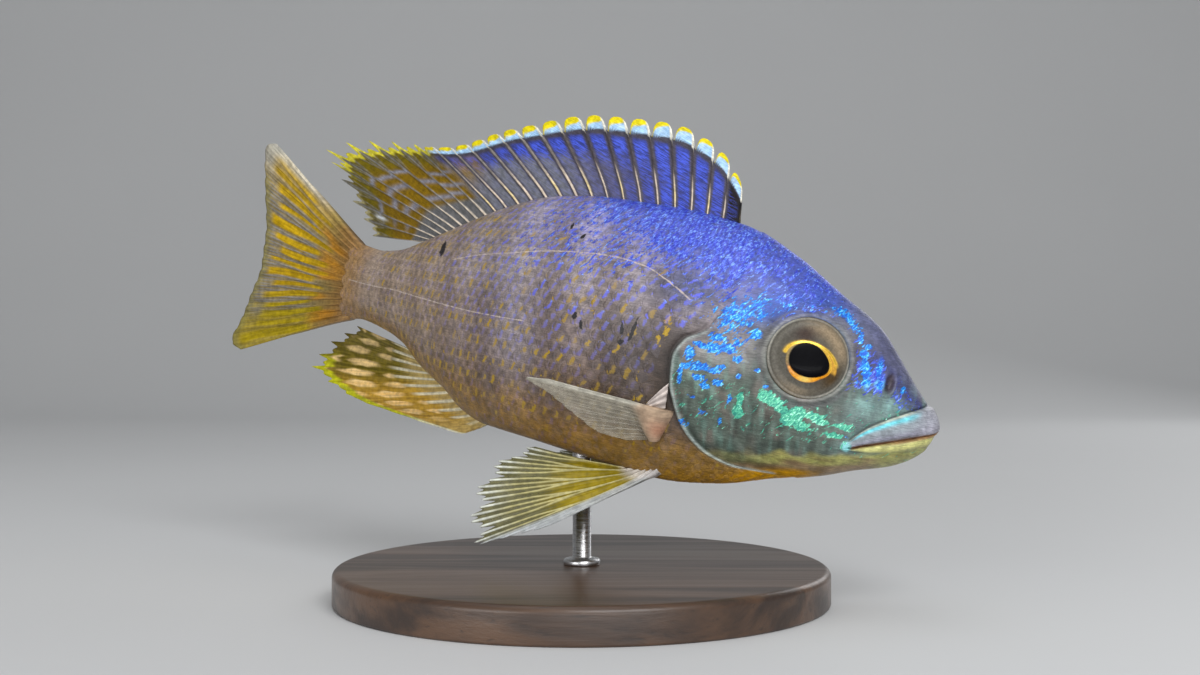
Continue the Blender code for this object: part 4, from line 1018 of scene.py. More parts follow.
def make_skin(material):
    """One skin over head, trunk and tail stalk: columns run round the body and follow the gill
    cover's edge; each row is a line from the snout's tip to the tail."""
    columns_ahead, columns_behind, around = 176, 128, 308
    ahead = GILL_START * np.linspace(0, 1, columns_ahead + 1)[1:] ** 1.35
    behind = GILL_START + (TAIL_BASE - GILL_START) * np.linspace(0, 1, columns_behind + 1)[1:] ** 1.5
    w = np.concatenate([ahead, behind])[:, None]
    quarter_steps = around // 4
    turn = np.arange(around)
    right_side = np.where(turn <= 3 * quarter_steps, 2 * quarter_steps - turn, turn - 4 * quarter_steps)
    quarter = np.where(turn <= quarter_steps, turn, right_side) / quarter_steps
    left = (turn <= quarter_steps) | (turn >= 3 * quarter_steps)

    s = w + 0 * quarter[None, :]
    for _ in range(4):
        angle = lip_lines(quarter[None, :] + 0 * s, s)
        edge = gill_at(angle)
        s = np.where(w <= GILL_START, w * edge / GILL_START,
                     edge + (w - GILL_START) * (TAIL_BASE - edge) / (TAIL_BASE - GILL_START))
    angle = np.where(left[None, :], angle, np.pi - angle)
    at = skin_surface(s, angle)
    tail_end = section(np.array([TAIL_BASE]), np.array([0.0]))[0] * (1, 0, 1)
    tip = np.array([0.0, 0.0, float(through(MID_LINE, np.array(0.0)))])
    flat = np.concatenate([at.reshape(-1, 3), [tip], [tail_end]])
    rows, columns = s.shape
    first, last = rows * columns, rows * columns + 1
    quads = grid_faces(rows, columns, wrap=True)
    front, back = fan(first, 0, columns, -1), fan(last, (rows - 1) * columns, columns)
    ground, marks = body_paint(flat)
    make_piece("fish_skin", posed(flat), [quads, front, back], material,
               ("head", "trunk", "tail_stalk"),
               {"place": flat, "tint": with_alpha(ground), "marks": marks})


# Scales

class ArcTable:
    """Lengths measured round the body from the mid line, and the angles at which they are met."""

    def __init__(self):
        self.s = np.arange(0.5, TAIL_BASE + 0.01, 0.5)
        angle = np.radians(np.linspace(-90, 90, 181))
        ring = section(self.s[:, None] + 0 * angle, angle[None, :] + 0 * self.s[:, None])
        length = np.concatenate([np.zeros((len(self.s), 1)), np.cumsum(
            np.linalg.norm(np.diff(ring, axis=1), axis=-1), axis=1)], axis=1)
        length = length - length[:, 90:91]
        self.lower, self.upper = -length[:, 0], length[:, -1]
        self.share = np.linspace(-1, 1, 121)
        self.angle = np.array([
            np.interp(np.where(self.share < 0, self.share * low, self.share * high), row, angle)
            for row, low, high in zip(length, self.lower, self.upper)])

    def reach(self, s, upper):
        return np.where(upper, np.interp(s, self.s, self.upper), np.interp(s, self.s, self.lower))

    def angle_at(self, s, t):
        """The angle at a length t from the mid line; past the back or belly it goes on round."""
        share = t / self.reach(s, t > 0)
        over = np.abs(share) > 1
        share = np.where(over, np.sign(share) * 2 - share, share)
        row = np.clip((s - self.s[0]) / 0.5, 0, len(self.s) - 1.001)
        column = np.clip((share + 1) * 60, 0, 119.999)
        r, c = row.astype(int), column.astype(int)
        fr, fc = row - r, column - c
        grid = self.angle
        found = ((grid[r, c] * (1 - fr) + grid[r + 1, c] * fr) * (1 - fc)
                 + (grid[r, c + 1] * (1 - fr) + grid[r + 1, c + 1] * fr) * fc)
        return np.where(over, np.sign(found) * np.pi - found, found)


def lattice(arcs, start, end, pitch, row, keep):
    """Roots of overlapping scales in staggered rows, closer towards the tail, where keep(s, t, angle)."""
    steps = np.arange(0, 400)
    closing = 1 - ROWS_SHRUNK
    spots = []
    for number in range(-24, 25):
        s = start + (steps + 0.5 * (number % 2)) * pitch
        s = start + (s - start) * (1 - closing * (s - start) / (2 * (TAIL_BASE - start)))
        s = s[s < end]
        t = number * row * (1 - closing * np.clip((s - start) / (TAIL_BASE - start), 0, 1))
        spots.append(np.stack([s, t, np.full(len(s), float(number))], -1))
    spots = np.concatenate(spots)
    inside = np.abs(spots[:, 1]) < arcs.reach(spots[:, 0], spots[:, 1] > 0) - 0.1 * row
    spots = spots[inside]
    return spots[keep(spots[:, 0], spots[:, 1], arcs.angle_at(spots[:, 0], spots[:, 1]))]


def make_scales(name, hand, arcs, spots, length, width, lift, material, seed):
    """Scales as caps of a rounded plate: along and across it, place = root + length along the
    body and width round it, with a rear edge as a half ellipse, raised from below the skin at the
    root to lift at the free edge, and a wall down from the edge. length and width follow spots."""
    draw = np.random.default_rng(seed)
    jitter = draw.normal(0, 0.03, (len(spots), 2))
    inner = np.sin(np.linspace(-np.pi / 2, np.pi / 2, SCALE_STEPS_ACROSS + 1)[1:-1])
    a = np.concatenate([np.linspace(0, 1, SCALE_STEPS_ALONG + 1)[:-1], [0.975, 1.0, 1.0]])
    b = np.concatenate([[-1.0, -1.0, -0.97], inner, [0.97, 1.0, 1.0]])
    down = np.ones((len(a), len(b)))
    down[-1, :] = down[:, 0] = down[:, -1] = 0
    bb = b[None, :] + 0 * a[:, None]
    rounded = a[:, None] * (0.42 + 0.58 * np.sqrt(np.clip(1 - bb ** 2, 0, 1)))
    shape = (len(spots), len(a), len(b))
    s0, t0 = spots[:, 0, None, None], spots[:, 1, None, None]
    sizes = length[:, None, None] * (1 + jitter[:, 0, None, None])
    s = s0 + sizes * (rounded - 0.35)[None]
    t = t0 + width[:, None, None] * bb[None] * (1 - 0.18 * rounded[None] ** 2)
    s = np.clip(s, 1.0, TAIL_BASE + 1.5)
    angle = arcs.angle_at(np.minimum(s, TAIL_BASE), t)
    rooted_behind = spots[:, 0] > gill_at(arcs.angle_at(spots[:, 0], spots[:, 1]))
    past_gill = np.maximum(s, gill_at(angle) + 0.5 + 0.06 * a[None, :, None])
    s = np.where(rooted_behind[:, None, None], past_gill, s)
    angle = angle if hand > 0 else np.pi - angle
    dome = 0.015 * (1 - bb ** 2)
    raised = -0.05 + (lift + 0.05) * rounded + dome * rounded
    raised = np.where(down > 0, raised, -0.10) * np.minimum(1, length[:, None, None] / 2.5)
    at = skin_surface(s, angle, raised)
    root = np.stack([spots[:, 0], arcs.angle_at(spots[:, 0], spots[:, 1]) * hand], -1)
    count = len(a) * len(b)
    quads = grid_faces(len(a), len(b))
    if hand > 0:
        quads = quads[:, ::-1]
    index = np.arange(count).reshape(len(a), len(b))
    rim = np.concatenate([index[0, :-1], index[:-1, -1], index[-1, :0:-1], index[:0:-1, 0]])
    if hand < 0:
        rim = rim[::-1]
    offset = (np.arange(len(spots)) * count)[:, None, None]
    all_quads = (quads[None] + offset).reshape(-1, 4)
    all_rims = rim[None] + offset[:, :, 0]
    flat = at.reshape(-1, 3)
    where = at[:, SCALE_STEPS_ALONG - 1, len(b) // 2]
    ground, marks = body_paint(flat)
    solid = body_paint(where)[1][:, 0]
    own = np.stack([np.broadcast_to(rounded, shape), np.broadcast_to((bb + 1) / 2, shape)], -1)
    bake = root[:, None, None] * (0.01, 1 / (2 * np.pi)) + (0.0, 0.5) + (own - 0.5) * 0.003

    fade = fall(where[:, 0], 88, 50)
    high = ramp(where[:, 2] + 4, 0, 12)
    odd = spots[:, 2] % 2 < 0.5
    violet = draw.uniform(0, 1, len(spots)) < np.where(odd, 0.95, 0.12 + 0.6 * high * fade)
    sparse = fall(where[:, 0], 46, 8) * fall(where[:, 2], 9, 5)
    bright = draw.uniform(0.2, 1.0, len(spots)) * (0.12 + 0.88 * fade * high) * (1 - 0.45 * sparse)
    bright = bright * (1 - ramp(solid, 0.26, 0.2))
    top = 13 + 8 * ramp(where[:, 0], 44, 6)
    low = ramp(top, where[:, 2], 8) * ramp(where[:, 2] + 11.5, 0, 4)
    low = low * (1 - ramp(solid, 0.3, 0.2))
    yellow = draw.uniform(0, 1, len(spots)) < np.where(odd, 0.1, 0.95) * low * fall(where[:, 0], 90, 16)
    above = ramp(where[:, 2], np.interp(where[:, 0], [31, 38, 46, 68], [7.0, 9.5, 11.0, 8.0]), 4)
    chance = np.stack([violet * bright, yellow * ~violet * draw.uniform(0.35, 0.95, len(spots)),
                       draw.uniform(0, 1, len(spots)) ** 2, 0.28 + 0.60 * above * fade], -1)

    def spread(values):
        wide = values.shape[-1]
        return np.broadcast_to(values[:, None], (len(spots), count, wide)).reshape(-1, wide)

    line = lateral_offsets(flat[:, 0], flat[:, 2])
    make_piece(name, posed(flat), [all_quads, all_rims], material, (),
               {"place": flat, "tint": with_alpha(ground), "marks": marks, "chance": spread(chance),
                "line": line, "scale": own.reshape(-1, 2), "OFBake": bake.reshape(-1, 2)})


def make_coat(material):
    """Large scales on flank, belly and tail stalk, and small ones on the nape and chest."""
    arcs = ArcTable()

    def on_flank(s, t, angle):
        share = t / arcs.reach(s, t > 0)
        small = ((s < 37) & (share > 0.62)) | ((s < 40) & (share < -0.62))
        return (s > gill_at(angle) + 0.9) & ~small & (s < TAIL_BASE - 0.4)

    def on_nape(s, t, angle):
        share = t / arcs.reach(s, t > 0)
        behind = s > gill_at(angle) + 0.5
        nape = (share > 0.62) & (s < 37) & (behind | (angle > 0.95)) & (s > 19 + 8 * (0.98 - share))
        chest = (share < -0.62) & (s < 40) & behind & (s > 15.5)
        return nape | chest

    flank_spots = lattice(arcs, FLANK_START, TAIL_BASE, SCALE_PITCH, SCALE_ROW, on_flank)
    nape_spots = lattice(arcs, NAPE_START, NAPE_END, NAPE_PITCH, NAPE_ROW, on_nape)
    ahead = flank_spots[:, 0] < np.median(flank_spots[:, 0])
    large = SCALE_PITCH, SCALE_ROW, SCALE_LIFT, "body_skin"
    small = NAPE_PITCH, NAPE_ROW, NAPE_LIFT, "head_skin"
    for hand, side_name in ((1, "left"), (-1, "right")):
        for title, spots, pitch, row, lift, slot, seed in (
                ("flank_scales_front_", flank_spots[ahead], *large, 11),
                ("flank_scales_rear_", flank_spots[~ahead], *large, 12),
                ("nape_scales_", nape_spots, *small, 11)):
            behind = (spots[:, 0] - FLANK_START) / (TAIL_BASE - FLANK_START)
            shrunk = 1 - SCALE_SHRINK * np.clip(behind, 0, 1)
            make_scales(title + side_name, hand, arcs, spots, SCALE_LENGTH * pitch * shrunk,
                        SCALE_WIDTH * row * shrunk, lift, material, seed)


# Fins

def ray_tree(q, v, splits=(0.30, 0.62), spread=(0.24, 0.12), width=(0.13, 0.05)):
    """1 on the crest of a ray and its branches, 0 between: each ray parts in two and again in two."""
    off = q - np.rint(q)
    first = spread[0] * ramp(v, splits[0], 0.6)
    second = spread[1] * ramp(v, splits[1], 0.35)
    wide = width[0] + (width[1] - width[0]) * ramp(v, 0, 0.85)
    crest = np.zeros(np.broadcast(q, v).shape)
    for one in (-1, 1):
        for two in (-1, 1):
            crest = np.maximum(crest, 1 - ((off - one * first - two * second) / wide) ** 2)
    return np.sqrt(np.clip(crest, 0, 1))


def off_ray(q):
    """Distance to the nearest ray, in steps from ray to ray."""
    return np.abs(q - np.rint(q))


def behind_spine(q):
    """How far behind its spine a place is, in steps from spine to spine."""
    return q - np.floor(q + 1e-6)


def ripple(q):
    """0 at whole numbers and 1 halfway between them."""
    return 0.5 - 0.5 * np.cos(2 * np.pi * q)


def spine_crest(q, v, width):
    """1 on the crest of an unbranched spine."""
    return np.sqrt(np.clip(1 - ((q - np.rint(q)) / width) ** 2, 0, 1)) + 0 * v


def make_fin(name, columns, rows, place, wall, paint, material, node, grain_pitch=3.0):
    """A fin: place(q, v) lays out its middle, wall(q, v) is its thickness on ray and web, and
    paint(q, v) its colour, opacity and share of web. Both faces and the rim close into one body."""
    v, q = np.meshgrid(rows, columns, indexing="ij")
    at = place(q, v)
    middle = bent(at)
    across, along = np.gradient(middle, axis=1), np.gradient(middle, axis=0)
    normal = np.cross(across, along)
    normal = normal / np.maximum(np.linalg.norm(normal, axis=-1, keepdims=True), 1e-9)
    half = (wall(q, v) / 2)[..., None]
    both = np.concatenate([(middle + normal * half).reshape(-1, 3),
                           (middle - normal * half).reshape(-1, 3)])
    r, c = q.shape
    front = grid_faces(r, c)
    back = grid_faces(r, c, start=r * c)[:, ::-1]
    index = np.arange(r * c).reshape(r, c)
    rim = np.concatenate([index[0, :], index[1:, -1], index[-1, -2::-1], index[-2:0:-1, 0]])
    after = np.roll(rim, -1)
    band = np.stack([after, rim, rim + r * c, after + r * c], -1)
    rgb, alpha, web = paint(q, v)
    tint = np.tile(with_alpha(rgb, alpha).reshape(-1, 4), (2, 1))
    flat = np.tile(at.reshape(-1, 3), (2, 1))
    grain = np.tile(np.stack([grain_pitch * q, 0 * q, 2.5 * v], -1).reshape(-1, 3), (2, 1))
    make_piece(name, (both + SET_DOWN) * MM, [front, back, band], material, 
               (node,) if node else (),
               {"place": flat, "tint": tint, "grain": grain,
                "web": np.tile(np.broadcast_to(web, q.shape).ravel(), 2)})


def even_columns(rays, each):
    """Columns of a fin with the same number of steps between its rays."""
    return np.linspace(1, rays, (rays - 1) * each + 1)


def incised(q, v, depth, sharp=2.0):
    """Draws the web in between the ray tips; sharp is 2 for round bays and near 1 for points."""
    between = np.minimum(off_ray(q) * 2, 1)
    return v * (1 - depth * between ** sharp)


def fringed(q, v, depth, teeth, tooth_depth):
    """Points the web at the ray tips and between the filaments, of which teeth fall on each ray.
    Only the outer half of the fin is drawn in, so that the pattern inside keeps its shape."""
    cut = incised(q, 1.0, depth, 0.8) * (1 - tooth_depth * ripple(teeth * q))
    return 1 - (1 - cut) * np.clip((v - 0.5) / 0.5, 0, 1)


def dorsal_length(q):
    """Length of a dorsal ray from the back to its tip, in millimetres."""
    root = through(DORSAL_ROOTS, q)
    return np.hypot(through(DORSAL_TIPS, q, 1) - root,
                    through(DORSAL_TIPS, q, 2) - through(BACK_LINE, root))


def lappet(q):
    """Share of the ray's length that the lobe behind each spine reaches."""
    return 1 - through(LAPPET_DROP, behind_spine(q)) * through(NOTCH_DEPTH, q) / dorsal_length(q)


def swept(tips, q, reach, root, foot, curve, sway):
    """Places along rays from a root and the height of its foot towards the tips. The rays bow:
    height = foot + (tip - foot) reach^curve."""
    s = root + (through(tips, q, 1) - root) * reach
    height = foot + (through(tips, q, 2) - foot) * np.sign(reach) * np.abs(reach) ** curve
    return np.stack([s, sway, height], -1)


def dorsal_place(q, v):
    root = through(DORSAL_ROOTS, q)
    soft_edge = fringed(q, v, through([(18, 0.04), (20, 0.11), (24, 0.12), (27, 0.06)], q), 2, 0.10)
    soft = smooth_step(q - SPINES)
    reach = v * (lappet(q) + (soft_edge - lappet(q)) * soft)
    pleat = 0.10 * np.sin(2 * np.pi * q) * smooth_step(v)
    sway = 0.9 * soft * v * np.sin((q - SPINES) * 0.8)
    return swept(DORSAL_TIPS, q, reach, root, through(BACK_LINE, root) + 0.1, 0.94, sway + pleat)


def dorsal_wall(q, v):
    spine = spine_crest(q, v, 0.075)
    soft = smooth_step(q - SPINES)
    ray = ray_tree(q, v)
    crest = spine + (ray - spine) * soft
    ridge = 0.5 - 0.28 * np.clip(v, 0, 1)
    edge = 1 - 0.5 * ramp(v, 0.94, 0.06)
    return (0.14 + (ridge - 0.14) * crest + 0.25 * smooth_step(1 - v / 0.12)) * edge


def dorsal_paint(q, v):
    """Spiny part: pale lobes with yellow caps over a dark band, blue panels between dusky spines
    that turn cream towards the back. Soft part: amber blocks in a grey net, yellow tips."""
    f = behind_spine(q)
    length = dorsal_length(q)
    edge = (1 - v) * length * lappet(q)
    level = length * (1 - v * lappet(q))
    off = off_ray(q)
    dusk = np.array([0.065, 0.06, 0.085])
    below = level - LOBE_BAND - DARK_BAND
    strength = through([(1, 0.1), (2, 0.5), (3, 0.9), (11, 0.95), (14, 0.6), (16, 0.4), (18, 0.2)], q)
    panel = ramp(f, 0.14, 0.14) * fall(f, 0.90, 0.16)
    lower = 1 - 0.85 * ramp(below, 1.5, 3.2) * ramp(q, 4, 5)
    patchy = 1 - 0.35 * smooth_step(wavy(q * 2.2, v * 9, 1.6, 77) * 1.3) * ramp(below, 1, 2)
    slate = ramp(below, 1.0, 3.0) * ramp(q, 6, 6)
    grey_web = blended((0.15, 0.15, 0.24), (0.175, 0.18, 0.205), ramp(q, 8.5, 3.5))
    amber_patch = ramp(q, 14.5, 1.5) * bump(v - 0.62 + 0.09 * (q - 16), 0.16) * panel
    lilac = blended((0.36, 0.58, 0.84), (0.56, 0.70, 0.84),
                    smooth_step(wavy(q * 4, v * 30, 3.0, 5)) * 0.6)
    web = painted(
        dusk,
        ((0.035, 0.055, 0.32), panel * strength * lower * patchy),
        (grey_web, slate * panel * 0.9),
        ((0.26, 0.16, 0.02), amber_patch * 0.8),
        (dusk * 0.8, fall(below, 0, 0.35)),
        (lilac, fall(level, LOBE_BAND, 0.25)),
        ((0.74, 0.70, 0.55), fall(edge, 0.22, 0.1) * fall(level, LOBE_BAND, 0.2) * 0.8))
    cap = through([(1, 0.8), (3, 0.8), (5, 0.65), (6, 1.0), (12, 1.3), (17, 1.2)], q)
    cap = cap * np.clip(1 - ((f - 0.42) / 0.50) ** 2, 0, 1)
    front = fall(f, 0.10, 0.04) * fall(level, LOBE_BAND + 0.3, 0.3)
    first = fall(q, 2.0, 0.3) * fall(LOBE_BAND - level, 0, 0.3)
    web = painted(
        web,
        ((0.72, 0.60, 0.006), ramp(cap, edge, 0.15)),
        ((0.80, 0.78, 0.66), front),
        ((0.008, 0.006, 0.008), first))
    spine = ramp(0.055 + 0.04 * ramp(q, 8, 4), off, 0.03)
    upper_bone = blended((0.055, 0.045, 0.05), (0.25, 0.22, 0.20), ramp(q, 9, 3))
    bone = painted(
        upper_bone,
        ((0.60, 0.50, 0.40), fall(v, 0.50, 0.28)),
        # Painted glints: yellow flecks low on some of the spines.
        ((0.75, 0.60, 0.25), bump(v - 0.12, 0.12) * (np.sin(np.rint(q) * 2.7) > 0.3) * 0.7))
    spiny = blended(web, bone * (1 - 0.9 * first)[..., None], spine * ramp(level, LOBE_BAND, 0.4))

    ray = fall(off, 0.11, 0.06)
    fork = ray_tree(q, v)
    cell = np.floor(q)
    soft = blended((0.18, 0.105, 0.001), (0.12, 0.09, 0.001),
                   smooth_step((v - 0.5) / 0.3 + (q - 21) * 0.05))
    net = 0.0
    for middle in (0.27, 0.42, 0.58):
        shift = 0.03 * np.sin(cell * 2.4 + middle * 30) + 0.012 * (q - 20)
        kept = np.sin(cell * 1.7 + middle * 50) > -0.75
        net = np.maximum(net, bump(v - middle - shift, 0.026) * kept)
    net = net * fall(q, 26.5, 2)
    tips = ramp(v, 0.87, 0.05) * fall(q, 23.6, 1.0)
    base = fall(v, 0.22, 0.06)
    soft = painted(
        soft,
        ((0.22, 0.24, 0.33), net * 0.75),
        ((0.22, 0.24, 0.28), np.maximum(ray, fork * ramp(v, 0.55, 0.2) * 0.6) * 0.55),
        ((0.62, 0.66, 0.70), bump(q - 25.4, 0.18) * bump(v - 0.70, 0.09)),
        ((0.80, 0.72, 0.04), tips * (0.6 + 0.4 * ray)),
        ((0.44, 0.40, 0.22), ramp(v, 0.88, 0.08) * ramp(q, 23.8, 1.5) * 0.8),
        ((0.12, 0.12, 0.125), base),
        ((0.60, 0.52, 0.42), base * ramp(0.09 + 0.05 * (1 - v / 0.2), off, 0.05)))
    share = ramp(q - SPINES, 0.2, 0.6)
    rgb = blended(spiny, soft, share)
    shown = panel * strength * lower * patchy * ramp(below, 0, 0.5)
    shown = shown * (1 - share) * ramp(off, 0.07, 0.05)
    return rgb, 1.0 - 0.1 * ramp(below, 0, 0.5) * (1 - share) * panel, shown


def anal_place(q, v):
    root = through(ANAL_ROOTS, q)
    depth = through([(1, 0.01), (6, 0.03), (8, 0.08), (12, 0.10)], q)
    reach = v * fringed(q, v, depth, 2, 0.06 * ramp(q, 5, 3))
    sway = 0.7 * v * np.sin(q * 0.7) + 0.08 * np.sin(2 * np.pi * q) * v
    return swept(ANAL_TIPS, q, reach, root, through(BELLY_LINE, root) - 0.05, 0.9, sway)


def soft_wall(root, tip, web=0.14):
    """Thickness of a soft fin: rays and their branches over an even web, thin at the edge."""
    def wall(q, v):
        ridge = root + (tip - root) * np.clip(v, 0, 1)
        edge = 1 - 0.5 * ramp(v, 0.95, 0.05)
        sheath = (root - web) * smooth_step(1 - v / 0.14) * 0.7
        return (np.maximum(web + (ridge - web) * ray_tree(q, v), web + sheath)) * edge
    return wall


def anal_paint(q, v):
    """Olive amber web under long pale peach spots along each ray, cream ray roots, a yellow rim
    and a white front edge."""
    off = off_ray(q)
    ray_number = np.rint(q)
    web = painted(
        (0.40, 0.23, 0.02),
        ((0.12, 0.09, 0.002), ramp(q, 6.0, 2.6)),
        ((0.46, 0.34, 0.13), fall(v, 0.28, 0.2) * 0.8))
    phase = 0.16 * np.mod(ray_number * 1.37, 2.0)
    along = np.mod((v - 0.54 - phase * 0.6) / 0.38 + 0.5, 1.0) - 0.5
    oval = np.hypot(off / 0.41, along / 0.47) + 0.12 * wavy(q * 3, v * 16, 2.0, 83)
    spots = fall(oval, 1.0, 0.5) * ramp(v, 0.30, 0.05) * fall(v, 0.92, 0.06)
    spots = spots * ramp(ray_number, 2.4, 1.5)
    root = fall(v, 0.36, 0.12)
    rim = ramp(v, 0.85, 0.07)
    rgb = painted(
        web,
        ((0.78, 0.56, 0.26), spots * (1 - 0.35 * ramp(q, 8, 2))),
        ((0.62, 0.33, 0.05), bump(off, 0.2) * spots * bump(q - 5.5, 2.5) * 0.6),
        ((0.70, 0.66, 0.50), fall(off, 0.24, 0.14) * root * 0.85),
        ((0.48, 0.36, 0.14), fall(q, 3.6, 2) * 0.6),
        ((0.48, 0.48, 0.005), rim * fall(q, 9.6, 1.5)),
        ((0.74, 0.72, 0.56), rim * fall(q, 3.8, 1.5)))
    return rgb, 0.97 - 0.12 * ramp(q, 8.5, 2) * (v > 0.3), 0.5 + 0 * q


def tail_place(q, v):
    reach = incised(q, v, 0.008)
    root_height = through(TAIL_ROOTS, q) * (1 - 0.10 * fall(v, 0, 0.08))
    sway = 0.6 * v * np.sin(q * 0.55) + 0.06 * np.sin(2 * np.pi * q) * v
    return swept(TAIL_TIPS, q, reach, TAIL_BASE - TAIL_ROOT_SUNK, root_height, 1.1, sway)


def tail_paint(q, v):
    """Amber streaks of uneven length between grey lilac rays, orange tan blotches at the root,
    cream white along the upper lobe, an olive rear margin."""
    cell = np.floor(q)
    drift = wavy(q * 1.3, v * 4, 3.2, 8)
    bent_streak = ripple(q + 0.16 * np.sin(v * 7 + cell))
    start = 0.30 + 0.09 * np.sin(cell * 2.3)
    end = 0.92 - 0.06 * np.sin(cell * 1.9 + 1)
    width = 0.24 + 0.16 * np.sin(cell * 3.1 + 2)
    streak = ramp(bent_streak - width + 0.2 * drift, 0, 0.35)
    streak = streak * ramp(v - start + 0.06 * drift, 0, 0.1) * ramp(end, v, 0.07)
    rays = ramp(ray_tree(q, v), 0.15, 0.5)
    orange = ramp(drift, -0.15, 0.4) * fall(v, 0.46, 0.15) * ramp(v, 0.02, 0.1)
    ground = painted(
        (0.27, 0.20, 0.07),
        ((0.29, 0.17, 0.05), ramp(0.4 + 0.1 * drift, v, 0.2)),
        ((0.21, 0.21, 0.22), ramp(v, 0.28, 0.2) * (0.25 + 0.55 * rays)),
        ((0.48, 0.22, 0.01), orange * 0.75))
    gilt = blended((0.46, 0.29, 0.001), (0.34, 0.26, 0.001), ramp(q, 10, 4))
    upper_lobe = fall(q, 4.4, 2.5) * ramp(v, 0.15, 0.2)
    lobe = fall(q, 1.9, 0.6) * ramp(v, 0.25, 0.4)
    tip = ramp(v, 0.86, 0.08) * fall(q, 3.5, 1.5)
    rgb = painted(
        ground,
        (gilt, streak),
        ((0.44, 0.30, 0.07), upper_lobe * 0.6 * (1 - streak * 0.7)),
        ((0.34, 0.25, 0.003), ramp(q, 12.6, 1.4) * ramp(v, 0.2, 0.3) * 0.8),
        ((0.60, 0.56, 0.46), lobe * 0.8),
        ((0.42, 0.41, 0.36), tip * 0.8),
        ((0.24, 0.21, 0.06), ramp(v, 0.92, 0.06) * ramp(q, 2.5, 1.5) * 0.7),
        ((0.16, 0.15, 0.12), bump(q - 12.8, 1.0) * bump(v - 0.88, 0.06) * 0.7),
        ("tail_root", fall(v, 0.20, 0.18)))
    return rgb, 1.0 - 0.12 * ramp(v, 0.9, 0.08), 0.4 * ripple(q)


def pectoral_place(hand):
    def place(q, v):
        reach = incised(q, v, 0.02)
        root, root_height = through(PECTORAL_BASE, q, 1), through(PECTORAL_BASE, q, 2)
        lobe = 0.55 * np.sin(np.pi * np.clip((v + 0.1) / 0.35, 0, 1))
        root_side = flank(root, root_height) + 0.15 + lobe
        s = root + (through(PECTORAL_TIPS, q, 1) - root) * reach
        height = root_height + (through(PECTORAL_TIPS, q, 2) - root_height) * reach
        side = root_side + (through(PECTORAL_TIPS, q, 3) - root_side) * reach - 0.9 * fall(v, 0, 0.1)
        return np.stack([s, hand * side, height], -1)
    return place


def pectoral_wall(q, v):
    lobe = 1.2 * np.sin(np.pi * np.clip((v + 0.12) / 0.36, 0, 1)) ** 1.5
    edge = 1 - 0.5 * ramp(v, 0.95, 0.05)
    fine = ramp(v, 0.16, 0.15)
    return (0.1 + lobe + (0.09 - 0.03 * np.clip(v, 0, 1)) * ray_tree(q, v) * fine) * edge


def pectoral_paint(q, v):
    """Clear grey cream web with faint rays over a fleshy pink base with a red patch."""
    ray = ray_tree(q, v)
    flesh = fall(v, 0.26, 0.14)
    rgb = painted(
        (0.28, 0.255, 0.20),
        ((0.36, 0.335, 0.28), ray),
        ((0.48, 0.46, 0.39), fall(q, 3.0, 1.5)),
        ((0.40, 0.29, 0.20), flesh),
        ((0.42, 0.16, 0.09), bump(v, 0.10) * bump(q - 8.0, 3.0) * 0.6))
    alpha = 0.52 - 0.22 * ramp(q, 3.5, 5) + 0.2 * ray + 0.3 * fall(q, 3.2, 1.5)
    return rgb, np.clip(alpha + flesh, 0, 1), (1 - ray) * 0.2


def fold_place(hand):
    """A small web folded between the gill cover's edge and the upper root of the pectoral fin."""
    def place(q, v):
        root_height = -0.6 - 1.05 * (q - 1)
        s = 31.7 + (34.0 - 31.7) * v
        height = root_height + (-3.75 - 0.12 * q - root_height) * v
        bulge = 0.45 * np.sin(np.pi * np.clip(v, 0, 1)) * np.sin(np.pi * (q - 1) / 3)
        side = flank(s, height) + 0.25 + bulge
        return np.stack([s, hand * side, height], -1)
    return place


def fold_paint(q, v):
    pleats = smooth_step(0.5 + 0.5 * np.cos(2 * np.pi * (q + 0.1 * v)))
    rgb = blended((0.36, 0.31, 0.29), (0.66, 0.58, 0.54), pleats)
    return rgb, 0.9 + 0 * q, 0.2 + 0 * q


def fold_wall(q, v):
    return 0.12 + 0.16 * bump(q - np.rint(q), 0.25) + 0 * v


def pelvic_place(hand, spread):
    def place(q, v):
        reach = incised(q, v, 0.10) * (1 - 0.05 * ripple(4 * (q - 0.125)))
        root, root_side = through(PELVIC_BASE, q, 1), through(PELVIC_BASE, q, 2)
        root_height = underside(root, root_side) + 0.1
        folded = through(PELVIC_TIPS, 6.0, 2), through(PELVIC_TIPS, 6.0, 3)
        tip_side = folded[0] + (through(PELVIC_TIPS, q, 2) - folded[0]) * spread
        tip_height = folded[1] + (through(PELVIC_TIPS, q, 3) - folded[1]) * spread
        s = root + (through(PELVIC_TIPS, q, 1) - root) * reach
        side = root_side + (tip_side - root_side) * reach + 0.12 * np.sin(2 * np.pi * q) * v
        height = root_height + (tip_height - root_height) * reach + 0.8 * fall(v, 0, 0.08)
        return np.stack([s, hand * side, height], -1)
    return place


def pelvic_paint(q, v):
    """White and pale yellow branched rays over an olive yellow web that clears towards the tips."""
    ray = ray_tree(q, v, splits=(0.14, 0.36), width=(0.12, 0.05))
    web = blended((0.27, 0.20, 0.004), (0.12, 0.11, 0.03), ramp(v, 0.45, 0.25))
    bone = blended((0.48, 0.44, 0.21), (0.64, 0.67, 0.62), ramp(v, 0.75, 0.2))
    lead = fall(q, 2.2, 0.5)
    root = fall(v, 0.16, 0.1)
    rgb = painted(
        web,
        (bone, ray * 0.95),
        ((0.42, 0.45, 0.48), lead * 0.85),
        ((0.62, 0.58, 0.56), root * 0.8))
    alpha = 0.95 - 0.22 * ramp(v, 0.45, 0.35) * (1 - lead)
    return rgb, np.clip(alpha + ray, 0, 1), (1 - ray) * 0.3


